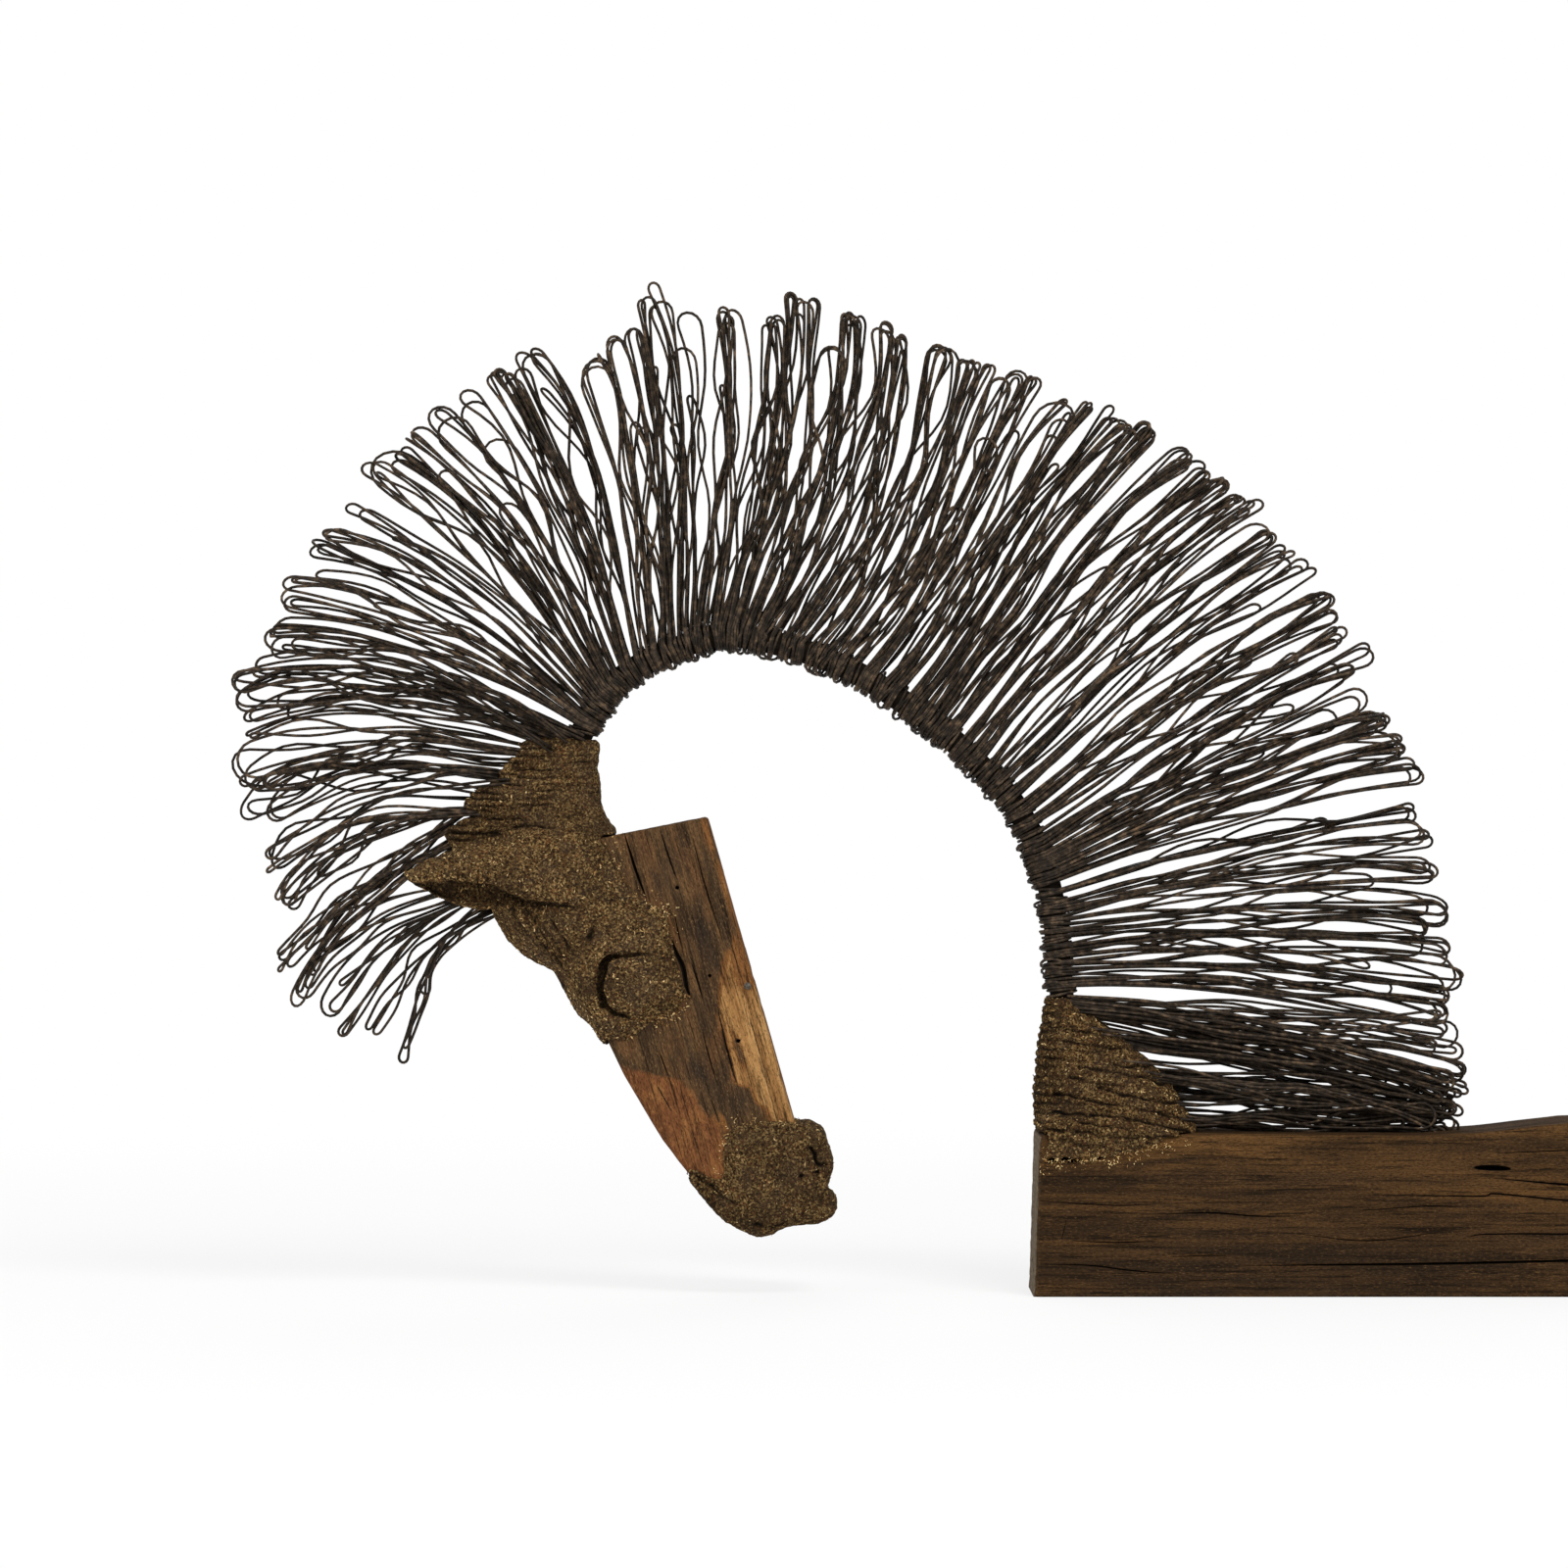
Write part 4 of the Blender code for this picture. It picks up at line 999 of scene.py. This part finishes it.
def head_paste(node, grain, softness):
    """A fine copy in the head's frame: mesh, points, normals and places on the plank in mm."""
    mesh = fine_copy(node, grain, softness)
    mesh.transform(head_frame().inverted() @ bpy.data.objects[node].matrix_world)
    points, normals = corners_of(mesh), normals_of(mesh)
    return mesh, points, normals, np.stack([-points[:, 2], -points[:, 0]], axis=1) * 1000


def modelled(mesh, cut, outer, darkening, swell=0.0):
    """The mesh's points with lumps and crumbs, less what is cut away. Its pits are marked as deep, for
    painted shade.
    """
    points, normals = corners_of(mesh), normals_of(mesh)
    lumps = layers(points, (0.0007, 0.020, 1.0), (0.00045, 0.008, 2.0))
    grain = layers(points, (1.0, 0.0036, 3.0), (0.7, 0.0021, 12.0))
    moved = points + normals * (lumps + 0.00050 * grain + (swell - cut) * outer)[:, None]
    for axis, seed in ((0, 5.0), (2, 6.0)):
        moved[:, axis] += 0.0009 * bumps(points, 0.006, seed)
    uneven = 1 + 0.5 * bumps(points, 0.005, 21.0)
    # Painted shade: the deep mask darkens low spots between crumbs, grooves and pits, and adds the extra
    # darkness passed in
    set_mask(mesh, "deep", 0.30 * rise(-grain, 0.2, 1.0) + 0.85 * rise(cut * uneven, 0.0003, 0.0018) + darkening)
    return moved


def thinned(points, distance, reach):
    """Paste over the plank's faces, thinner towards the edge where it is smeared out."""
    over = np.maximum(np.abs(points[:, 1]) - HEAD_THICKNESS / 2 - PASTE_FILM, 0)
    less = over * (1 - 0.04 - 0.96 * rise(distance, 0, reach))
    points[:, 1] -= np.sign(points[:, 1]) * less
    return points


def poll_ridges(points, height, flat):
    """How deep the paste over the poll is cut between its level ridges."""
    stripes = np.sin(height * 2 * math.pi / RIDGE_HEIGHT + 2.4 * bumps(points, (0.04, 0.02, 0.02), 4.0))
    down, across = flat.T
    broken = np.clip(0.7 + 1.2 * bumps(points, 0.014, 14.0), 0, 1) * (0.55 + 0.45 * rise(across, 70, 105))
    poll = rise(across, 48, 60) * (1 - rise(down, -34, -18))
    return RIDGE_DEPTH * np.maximum(0, stripes) ** 2 * broken * poll


def strewn_on_plank(edges, count, look):
    """Crumbs on the plank's faces beside the paste."""
    rows = []
    for edge in edges:
        for side in (-1, 1):
            down, across = (along_edge(edge, count, 3.0, look) / 1000).T
            face = np.full(count, side * (HEAD_THICKNESS / 2 + PASTE_FILM))
            rows.append(np.stack([-across, face, -down], axis=1))
    return strewn_on_faces(rows, 0.0011, 0.0005, look)


def crown_piece(paste, straw, look):
    mesh, points, normals, flat = head_paste("crown_paste", 0.00125, 4)
    down, across = flat.T
    outer = outer_faces(points, normals, 0.3, 0.6)
    cut = dig_pits(dig(flat, CROWN_GROOVES), flat, EAR_PITS, EAR_PIT_DEPTH)
    cut += 0.0012 * bell(np.linalg.norm(flat - PUPIL, axis=1), 4.4, 0.8)
    to_world = np.array(head_frame())
    height = points @ to_world[2, :3] + to_world[2, 3]
    cut += poll_ridges(points, height, flat)
    below = down - read_off([(c, a) for a, c in EAR_LINE[::-1]], across)
    ear = rise(across, 92, 106) * (1 - rise(across, 178, 190))
    hollow = rise(below, -0.5, 1.5) * (1 - rise(below, 3, 19)) * ear
    raised = (1 - rise(-below, 1, 14)) * rise(-below, -0.5, 0.5) * ear
    spiky = rise(across, 92, 104) * (1 - rise(down, -30, -20)) * (1 - outer)
    swell = 0.0016 * raised - 0.0030 * hollow + 0.0034 * spiky * bumps(points, (0.011, 0.05, 0.011), 17.0)
    # Painted shade in the hollow under the ear's fold
    moved = modelled(mesh, cut, np.maximum(outer, spiky), 0.38 * hollow, swell)
    rim = rise(across - read_off(POLL_RIM, down), -15, -2) * (1 - rise(down, -36, -30))
    for up, half_width, depth in POLL_NOTCHES:
        moved[:, 0] += depth * rim * bell(height, up, half_width)
    tip = rise(across, 160, 186) * rise(np.abs(points[:, 1]), 0.020, 0.026)
    moved += tip[:, None] * (-0.0055, 0, 0.0028)  # a long ear
    smeared = np.minimum(from_line(flat, CROWN_EDGE[:4]), from_line(flat, CROWN_EDGE[7:]))
    set_corners(mesh, thinned(moved, smeared, 11))
    above_face = np.abs(corners_of(mesh)[:, 1]) > np.where(across < 97, HEAD_THICKNESS / 2 + 0.0003, 0)
    slivers = slivers_on(mesh, above_face & (cut < UNCUT), *CROWN_SLIVERS, look)
    add_piece("crown", mesh, [paste], ["crown_paste"], head_frame())
    strewn = strewn_on_plank([CROWN_EDGE[:5], CROWN_EDGE[6:9]], 200, look)
    add_slivers("crown_slivers", [slivers, strewn], straw, head_frame())


def muzzle_piece(paste, straw, look):
    mesh, points, normals, flat = head_paste("muzzle_paste", 0.00115, 3)
    cut = dig_pits(dig(flat, MUZZLE_GROOVES), flat, NOSTRIL_PITS, NOSTRIL_DEPTH)
    # Darker a little all over the muzzle, and painted shade along its low band
    low = bell(from_line(flat, LOW_BAND), 0, 5.0)
    darkening = 0.14 + 0.35 * low * rise(bumps(points, 0.012, 31.0), -0.5, 0.4)
    moved = modelled(mesh, cut, outer_faces(points, normals, 0.2, 0.5), darkening)
    set_corners(mesh, thinned(moved, from_line(flat, MUZZLE_EDGE[:6]), 9))
    above_face = np.abs(corners_of(mesh)[:, 1]) > HEAD_THICKNESS / 2 + 0.0003
    shown = above_face | (flat[:, 0] > 240) | (flat[:, 1] < -1)
    slivers = slivers_on(mesh, shown, *MUZZLE_SLIVERS, look)
    add_piece("muzzle", mesh, [paste], ["muzzle_paste"], head_frame())
    strewn = strewn_on_plank([MUZZLE_EDGE[:6]], 160, look)
    add_slivers("muzzle_slivers", [slivers, strewn], straw, head_frame())


def withers_piece(paste, straw, look):
    mesh = fine_copy("withers_paste", 0.0012, 8)
    mesh.transform(bpy.data.objects["withers_paste"].matrix_world)
    points, normals = corners_of(mesh), normals_of(mesh)
    x, z = points[:, 0] + TRUNK_LENGTH / 2, points[:, 2] - TRUNK_HEIGHT
    cut = WITHERS_GROOVE_SHARE * dig(np.stack([x, z], axis=1) * 1000, WITHERS_GROOVES)
    scallops = np.sin((z + 0.0008 * bumps(points, 0.02, 7.0)) * 2 * math.pi / SCALLOP_HEIGHT)
    above = rise(z, -0.004, 0.002)
    cut += SCALLOP_DEPTH * np.maximum(0, scallops) * above * (1 - 0.7 * rise(x, 0.010, 0.024))
    # Darker a little all over, and more at the cone's front above the trunk
    darkening = 0.10 + 0.25 * above * (1 - rise(x, 0.004, 0.03)) * rise(z, 0.0, 0.02)
    moved = modelled(mesh, cut, rise(1 - np.abs(normals[:, 2]), 0.1, 0.5), darkening)
    half = TRUNK_DEPTH / 2
    ragged = (1 - rise(z, -0.014, 0.0)) * rise(np.abs(points[:, 1]), half - 0.004, half)
    face = half + PASTE_FILM
    moved[:, 1] -= np.sign(moved[:, 1]) * np.maximum(np.abs(moved[:, 1]) - face, 0) * ragged
    set_corners(mesh, moved)
    shown = ((z > 0) | (np.abs(corners_of(mesh)[:, 1]) > face)) & (cut < UNCUT)
    slivers = slivers_on(mesh, shown, *WITHERS_SLIVERS, look)
    add_piece("withers", mesh, [paste], ["withers_paste"])
    rows = []
    for side in (-1, 1):
        back = look.uniform(0.004, 0.097, STREWN_ON_TRUNK)
        up = read_off(WITHERS_FOOT, back) + look.normal(0, 0.0035, STREWN_ON_TRUNK)
        spots = np.stack([back - TRUNK_LENGTH / 2, np.full(STREWN_ON_TRUNK, side * face), up], axis=1)
        rows.append(spots[up < TRUNK_HEIGHT - 0.004])
    strewn = strewn_on_faces(rows, 0.0010, 0.00042, look)
    add_slivers("withers_slivers", [slivers, strewn], straw)


# Wire

LEG_STEPS = 22
TIP_STEPS = 7
WRAP_STEPS = 12
TURN_STEPS = 14
CORE_STEPS = 90
CORE_SIDES = 16
LEVELS = np.linspace(0, 1, 6)
LEAVE = math.radians(62)  # how far round the neck a leg is where it leaves it
HELD = 0.42  # the share of a leg over which it parts from the winding
PUSH = 0.35  # how much of its root's way a leg takes
HANDLE = 0.33  # how far a curve's inner points are from its ends, of its reach


def turned(vectors, angle):
    """Turned about the Y axis."""
    c, s = np.cos(angle), np.sin(angle)
    x, y, z = np.moveaxis(vectors, -1, 0)
    return np.stack(np.broadcast_arrays(x * c + z * s, y + 0 * c, z * c - x * s), axis=-1)


def through(marks, shares):
    """Smooth lines through evenly spaced marks, read at shares of their way."""
    before, after = 2 * marks[:, :1] - marks[:, 1:2], 2 * marks[:, -1:] - marks[:, -2:-1]
    marks = np.hstack([before, marks, after])
    spans = marks.shape[1] - 3
    reached = np.clip(shares * spans, 0, spans - 1e-9)
    first = reached.astype(int)
    t = reached - first
    a, b, c, d = (np.take_along_axis(marks, first + i, axis=1) for i in range(4))
    return b + 0.5 * t * (c - a + t * (2 * a - 5 * b + 4 * c - d + t * (3 * b - a - 3 * c + d)))


def loop_steps(reach, width):
    """A loop's steps: shares of the way out, and sides: 1 on its near leg and -1 on its far one."""
    stop = 1 - (0.5 * width + 0.001) / reach
    leg = np.linspace(0, 1, LEG_STEPS) * stop[:, None]
    cap = np.linspace(0, math.pi, TIP_STEPS + 2)[1:-1]
    tip = stop[:, None] + (1 - stop[:, None]) * np.sin(cap)
    side = np.broadcast_to(np.cos(cap), tip.shape)
    return np.hstack([leg, tip, leg[:, ::-1]]), np.hstack([np.ones_like(leg), side, -np.ones_like(leg)])


def both_legs(near, far, shares, sides):
    """What the marks of the two legs say at each step of a loop."""
    part = (1 + sides) / 2
    return through(near, shares) * part + through(far, shares) * (1 - part)


def drawn(starts, ways, tips, turn, shares):
    """Points at shares of curves from starts to tips, which leave near ways and turn on their way out."""
    chord = tips - starts
    reach = np.linalg.norm(chord, axis=-1, keepdims=True)
    lead = turned(chord / reach, turn) * (1 - PUSH) + ways * PUSH
    last = turned(chord / reach, -turn)
    t = shares[..., None]
    u = 1 - t
    inner = starts + lead * HANDLE * reach
    outer = tips - last * HANDLE * reach
    points = starts * u**3 + inner * 3 * t * u * u + outer * 3 * t * t * u + tips * t**3
    return points, turned(last, math.pi / 2)


def round_neck(spots, along, radius, angles):
    """Points round the neck's line at spots of it, the angle 0 being on the mane's side."""
    out = turned(along, -math.pi / 2) * (radius * np.cos(angles))[..., None]
    return spots + out - SIDEWAYS * (radius * np.sin(angles))[..., None]


def strayed(count, amount, bow, look):
    """Marks of legs that stray sideways, from none at the root."""
    return look.normal(0, amount, (count, len(LEVELS))) * np.sin(LEVELS * bow)


def humped(values, hump):
    """A hump along the mane's edge."""
    strong, middle, half_width = hump
    return strong * bell(values, middle, half_width)


def mane_edge():
    """Along the mane's edge: how far, the share of the neck there, and the tip."""
    reaches = smooth_line(MANE_REACH)
    shares = np.clip(reaches[:, 0], 0.012, 0.985)
    roots, _ = at_shares(neck_line(), shares)
    tips = roots + np.stack([reaches[:, 1], 0 * shares, reaches[:, 2]], axis=1)
    passed = np.append(0, np.cumsum(np.linalg.norm(np.diff(tips, axis=0), axis=1)))
    return passed, shares, tips


def crest_strands(roots, tips, shift, strands, look):
    """Marks of legs along the mane's edge, from root to tip: they join strands and leave them."""
    rows = [roots]
    for level, strand in zip(LEVELS[1:-1], strands):
        swing = math.sin(math.pi * level)
        own = roots + (tips - roots) * level + look.normal(0, LEG_SCATTER, roots.shape) * swing
        nearest = strand[np.argmin(np.abs(own[:, None] - strand), axis=1)]
        rows.append(own + (nearest - own) * STRAND_PULL * (0.7 + 0.6 * level) + shift * swing)
    rows.append(tips)
    return np.stack(rows, axis=1)


def crest_legs(look):
    """Where the crest's loops run along the mane's edge and out of it, tuft by tuft."""
    passed, neck_shares, tips = mane_edge()
    edge = passed[-1]
    places, beyond, counts, widths = (np.array(column) for column in zip(*TUFTS))
    places, beyond, widths = places / 1000, beyond / 1000, widths / 1000
    between = (places[1:] + places[:-1]) / 2
    lows, highs = np.append(0.0, between), np.append(between, edge)
    tuft = np.repeat(np.arange(len(TUFTS)), counts)
    rank = np.concatenate([(np.arange(count) + 0.5) / count for count in counts])
    count = len(tuft)
    roots = lows[tuft] + (highs - lows)[tuft] * rank + look.normal(0, ROOT_SCATTER, count)
    roots = np.clip(roots - humped(roots, ROOTS_FORWARD), 0.002, edge - 0.006)
    width = np.clip(widths[tuft] * np.exp(look.normal(0, LOOP_WIDTH_SPREAD, count)), NARROWEST_LOOP, 0.026)
    roll = look.normal(0, 0.5, count)
    centre = places[tuft] + (rank - 0.5) * TUFT_SPREAD + look.normal(0, TIP_SCATTER, count)
    extra = beyond[tuft] - np.abs(look.normal(0, TIP_SHORTFALL, count))
    short = (look.random(count) < SHORT_LOOPS) * look.uniform(*SHORTER_BY, count)
    half, deep = width / 2 * np.cos(roll), width / 2 * np.sin(roll)
    shift = look.normal(0, 0.0012, count)
    strands = np.arange(-0.01, 1.1, STRAND_GAP)
    strands = strands + look.uniform(-0.4, 0.4, len(strands)) * STRAND_GAP
    strands = strands + np.cumsum(look.normal(0, STRAND_DRIFT, (4, len(strands))), axis=0)
    near = crest_strands(roots, centre + half, shift, strands, look)
    far = crest_strands(roots + LEGS_APART, centre - half, shift, strands, look)
    lock = np.clip((roots / edge * CREST_LOCKS).astype(int), 0, CREST_LOCKS - 1)
    sway = LOCK_SWAY * np.sin(2.4 * lock)
    depth = [sway[:, None] * LEVELS + strayed(count, 0.0028, 2.2, look) for _ in range(2)]
    depth[0][:, -1], depth[1][:, -1] = sway + deep, sway - deep
    foot, _ = at_shares(neck_line(), np.interp(roots, passed, neck_shares))
    reach = np.linalg.norm(at_shares(tips, centre / edge)[0] - foot, axis=1)
    longer = 1 + (extra - short) / reach
    shares, sides = loop_steps(reach * longer, width)
    spots = np.clip(both_legs(near, far, shares, sides), 0, edge)
    return roots, lock, longer, shares, sides, spots, both_legs(*depth, shares, sides)


def crest_loops(look):
    """All the turns of the crest, each once round the neck, and the lock that each belongs to."""
    passed, neck_shares, tips = mane_edge()
    neck = neck_line()
    roots, lock, longer, shares, sides, spots, depth = crest_legs(look)
    count = len(roots)
    starts, along = at_shares(neck, np.interp(spots.ravel(), passed, neck_shares))
    ways = turned(along, -math.pi / 2)
    ends, _ = at_shares(tips, spots.ravel() / passed[-1])
    ends = starts + (ends - starts) * np.repeat(longer, spots.shape[1])[:, None]
    lean = unit(ends - starts)[:, 0]
    droop = WITHERS_DROOP + (CREST_DROOP - WITHERS_DROOP) * np.maximum(0, -lean)
    bend = humped(spots.ravel(), MIDDLE_TURN) - np.clip(lean / 0.3, -1, 1) * droop
    out, _ = drawn(starts, ways, ends, bend, shares.ravel())
    out = out.reshape(*spots.shape, 3) + SIDEWAYS * depth[..., None]
    radius = (WRAP_RADIUS + look.uniform(0, 0.0011, count))[:, None]
    held = (1 - rise(shares, 0.0, HELD)) * radius
    out = round_neck(out, along.reshape(out.shape), held, sides * LEAVE)
    angles = np.linspace(-LEAVE, LEAVE - 2 * math.pi, WRAP_STEPS + 2)[1:-1]
    loose = (look.random((count, 1)) < LOOSE_TURNS) * look.uniform(0.3, 1.0, (count, 1))
    slack = np.abs(look.normal(0, 0.0003, (count, 1))) + SLACK * loose
    ring = radius + slack * np.maximum(0, -np.cos(angles)) ** 1.5
    wrapped = np.linspace(roots + LEGS_APART, roots, WRAP_STEPS, axis=1)
    wrapped = wrapped + 0.006 * loose * np.sin(2 * math.pi * np.linspace(0, 1, WRAP_STEPS))
    starts, along = at_shares(neck, np.interp(wrapped.ravel(), passed, neck_shares))
    shape = (count, WRAP_STEPS, 3)
    wrap = round_neck(starts.reshape(shape), along.reshape(shape), ring, angles)
    return np.concatenate([out, wrap], axis=1), lock


def bedded_loops(roots, tufts, lead, spread, deep, stray, look):
    """Loops out of paste, from between two roots to each tuft's tip. The lead draws them its way first."""
    first, last = (np.array(root) for root in roots)
    parts = []
    for tip_x, tip_z, count, wide, turn in tufts:
        tip = np.array(place(tip_x / 1000, tip_z / 1000))
        aim = unit(tip - (first + last) / 2)
        across = turned(aim, math.pi / 2)
        width = np.exp(look.normal(0, LOOP_WIDTH_SPREAD, count)) * wide / 1000
        width = np.clip(width, NARROWEST_LOOP, 0.024)
        roll = look.normal(0, 0.45, count)
        starts = first + (last - first) * look.random((count, 1))
        starts = starts + across * look.normal(0, spread, (count, 1))
        starts = starts + SIDEWAYS * np.clip(look.normal(0, deep, (count, 1)), -1.3 * deep, 1.3 * deep)
        tips = tip - aim * np.abs(look.normal(0, 0.006, (count, 1)))
        tips = tips + across * look.normal(0, 0.0035, (count, 1))
        tips = tips + SIDEWAYS * look.normal(0, 0.007, (count, 1))
        shares, sides = loop_steps(np.linalg.norm(tips - starts, axis=1), width)
        asides, depths = [], []
        for side in (1, -1):
            aside = strayed(count, stray, 2.4, look)
            aside += side * width[:, None] * 0.45 * np.sin(LEVELS * math.pi / 2) ** 1.5
            aside[:, 0] = side * LEGS_APART / 2
            aside[:, -1] = side * width / 2 * np.cos(roll)
            depth = strayed(count, 0.7 * stray, 2.4, look)
            depth[:, -1] = side * width / 2 * np.sin(roll)
            asides.append(aside)
            depths.append(depth)
        bend = np.radians(turn + look.normal(0, 4, count))[:, None] * np.ones_like(shares)
        bend = bend * (1 if aim[0] < 0 else -1)
        middle, flat = drawn(starts[:, None], aim + lead, tips[:, None], bend, shares)
        aside, depth = (both_legs(*legs, shares, sides) for legs in (asides, depths))
        parts.append(middle + flat * aside[..., None] + SIDEWAYS * depth[..., None])
    return np.concatenate(parts)


def neck_wires(look):
    """The core that the wire is wound on, and the turns round it that carry no loop."""
    row = neck_line()
    seat = NECK_SEAT * 0.9
    ends = [row[0] + unit(row[0] - row[1]) * seat, row[-1] + unit(row[-1] - row[-2]) * seat]
    core, _ = at_shares(np.vstack([ends[0], row, ends[1]]), np.linspace(0, 1, CORE_STEPS))
    shares = (np.arange(NECK_WRAPS) + look.uniform(-0.3, 0.3, NECK_WRAPS) + 0.5) / NECK_WRAPS
    spots, along = at_shares(row, shares)
    angles = 2 * math.pi * np.arange(TURN_STEPS) / TURN_STEPS
    radius = WRAP_RADIUS + look.uniform(-0.0002, 0.0007, (NECK_WRAPS, 1))
    radius = radius + np.abs(look.normal(0, 0.00025, (NECK_WRAPS, TURN_STEPS)))
    rings = round_neck(spots[:, None], along[:, None], radius, -angles)
    tilt = look.normal(0, 0.0010, (NECK_WRAPS, 1)) * np.cos(angles) + look.normal(0, 0.0006, (NECK_WRAPS, 1))
    rings = rings + along[:, None] * tilt[..., None]
    return sweep(core[None], CORE_RADIUS, CORE_SIDES, False), sweep(rings, WIRE_RADIUS, WIRE_SIDES, True)


def add_wires(name, tubes, steps, tones, wire, nodes):
    """A piece of wires that have as many steps each, with a tone of its own for each."""
    mesh = mesh_of(name, *tubes)
    count = len(mesh.vertices) // steps // WIRE_SIDES
    set_mask(mesh, "own", np.repeat(tones.random(count), steps * WIRE_SIDES))
    add_piece(name, mesh, [wire], nodes)


def mane(wire, crack):
    look, tones = np.random.default_rng(11), np.random.default_rng(3)
    parts = []
    for roots, tufts, forwards in zip(FORELOCK_ROOTS, FORELOCK_TUFTS, FORELOCK_LEADS):
        roots = [head_frame() @ on_plank(*root) for root in roots]
        lead = forwards * np.array([-1.0, 0.0, -0.1])
        parts.append((bedded_loops(roots, tufts, lead, 0.003, 0.007, 0.0024, look), False))
    for roots, tufts in zip(POLL_ROOTS, POLL_TUFTS):
        roots = [head_frame() @ on_plank(*root) for root in roots]
        parts.append((bedded_loops(roots, tufts, 0.0, 0.0025, 0.0105, 0.0046, look), False))
    crest, lock = crest_loops(look)
    parts.extend((crest[lock == number], True) for number in range(CREST_LOCKS))
    for roots, tufts, deep in zip(WITHERS_ROOTS, WITHERS_TUFTS, WITHERS_DEPTHS):
        roots = [place(back / 1000, up / 1000) for back, up in roots]
        parts.append((bedded_loops(roots, tufts, 0.0, 0.002, deep, 0.0035, look), False))
    for number, (paths, closed) in enumerate(parts, 1):
        tubes = sweep(paths, WIRE_RADIUS, WIRE_SIDES, closed)
        nodes = [f"mane_lock_{number:02d}"]
        add_wires(f"mane_wires_{number:02d}", tubes, paths.shape[1], tones, wire, nodes)
    core, wraps = neck_wires(look)
    # The core in the near-black crack finish: painted shade between the wraps
    add_piece("neck_core", mesh_of("neck_core", *core), [crack], [])
    add_wires("neck_wires", wraps, TURN_STEPS, tones, wire, ["neck_winding"])


def build():
    wire, crack = wire_finish(), crack_shade_finish()
    trunk_piece(trunk_finish(), crack)
    plank_piece(plank_finish(), crack)
    nail_piece(nail_finish())
    paste, straw = paste_finish(), fibre_finish()
    look = np.random.default_rng(5)
    crown_piece(paste, straw, look)
    muzzle_piece(paste, straw, look)
    withers_piece(paste, straw, look)
    mane(wire, crack)


# Stage

PICTURE_WIDTH = 0.96  # at the figure
CAMERA_AWAY = 4.3
AIM = Vector((-0.3, 0, 0.3))
# Where each light is, how wide and how strong
LIGHTS = {
    "key": ((0.7, -2.3, 3.0), 1.5, 92),
    "fill": ((-2.6, -1.6, 1.4), 1.8, 26),
    "back": ((-0.6, 2.4, 1.9), 1.6, 22),
}
SKY_STRENGTH = 0.42


def floor_finish():
    """White by the walls, so that no horizon shows, and pale paint near the figure."""
    paint = Finish("pale floor", 0.9, 0.0, 0.1)
    paint.shader.inputs["Base Color"].default_value = (0.86, 0.86, 0.86, 1)
    glow = paint.node("Emission", {}, Color=(1, 1, 1, 1))
    reach = paint.node("VectorMath", {"operation": "LENGTH"}, paint.spot).outputs["Value"]
    smooth = {"interpolation_type": "SMOOTHSTEP"}
    far = paint.node("MapRange", smooth, reach, 0.75, 2.2, 0.78).outputs["Result"]
    both = paint.node("MixShader", {}, far, paint.shader.outputs[0], glow.outputs[0])
    paint.put(paint.tree.nodes["Material Output"].inputs["Surface"], both.outputs[0])
    return paint.material


def add_light(name, spot, size, power):
    lamp = bpy.data.lights.new(name, "AREA")
    lamp.size = size
    lamp.energy = power
    item = linked(name, lamp)
    item.location = spot
    item.rotation_euler = (AIM - Vector(spot)).to_track_quat("-Z", "Y").to_euler()


def stage():
    bpy.ops.mesh.primitive_circle_add(vertices=96, radius=14, fill_type="NGON", location=(-0.2, 0, 0))
    floor = bpy.context.object
    floor.name = "floor"
    floor.data.materials.append(floor_finish())
    world = bpy.data.worlds.new("studio")
    bpy.context.scene.world = world
    world.use_nodes = True
    nodes, links = world.node_tree.nodes, world.node_tree.links
    sky = nodes["Background"]
    sky.inputs["Strength"].default_value = SKY_STRENGTH
    white = nodes.new("ShaderNodeBackground")
    path = nodes.new("ShaderNodeLightPath")
    both = nodes.new("ShaderNodeMixShader")
    links.new(path.outputs["Is Camera Ray"], both.inputs[0])
    links.new(sky.outputs[0], both.inputs[1])
    links.new(white.outputs[0], both.inputs[2])
    links.new(both.outputs[0], nodes["World Output"].inputs["Surface"])
    for shade in (sky, white):
        shade.inputs["Color"].default_value = (1, 1, 1, 1)
    for name, light in LIGHTS.items():
        add_light(name, *light)


def add_camera():
    """Level with the middle of the picture, and as wide as it."""
    lens = bpy.data.cameras.new("camera")
    lens.sensor_width = 36
    lens.lens = lens.sensor_width * CAMERA_AWAY / PICTURE_WIDTH
    item = linked("camera", lens)
    item.location = (-0.4712, -CAMERA_AWAY, 0.3108)
    item.rotation_euler = (math.pi / 2, 0, 0)
    bpy.context.scene.camera = item
    bpy.context.scene.view_settings.view_transform = "Standard"


build()
stage()
add_camera()
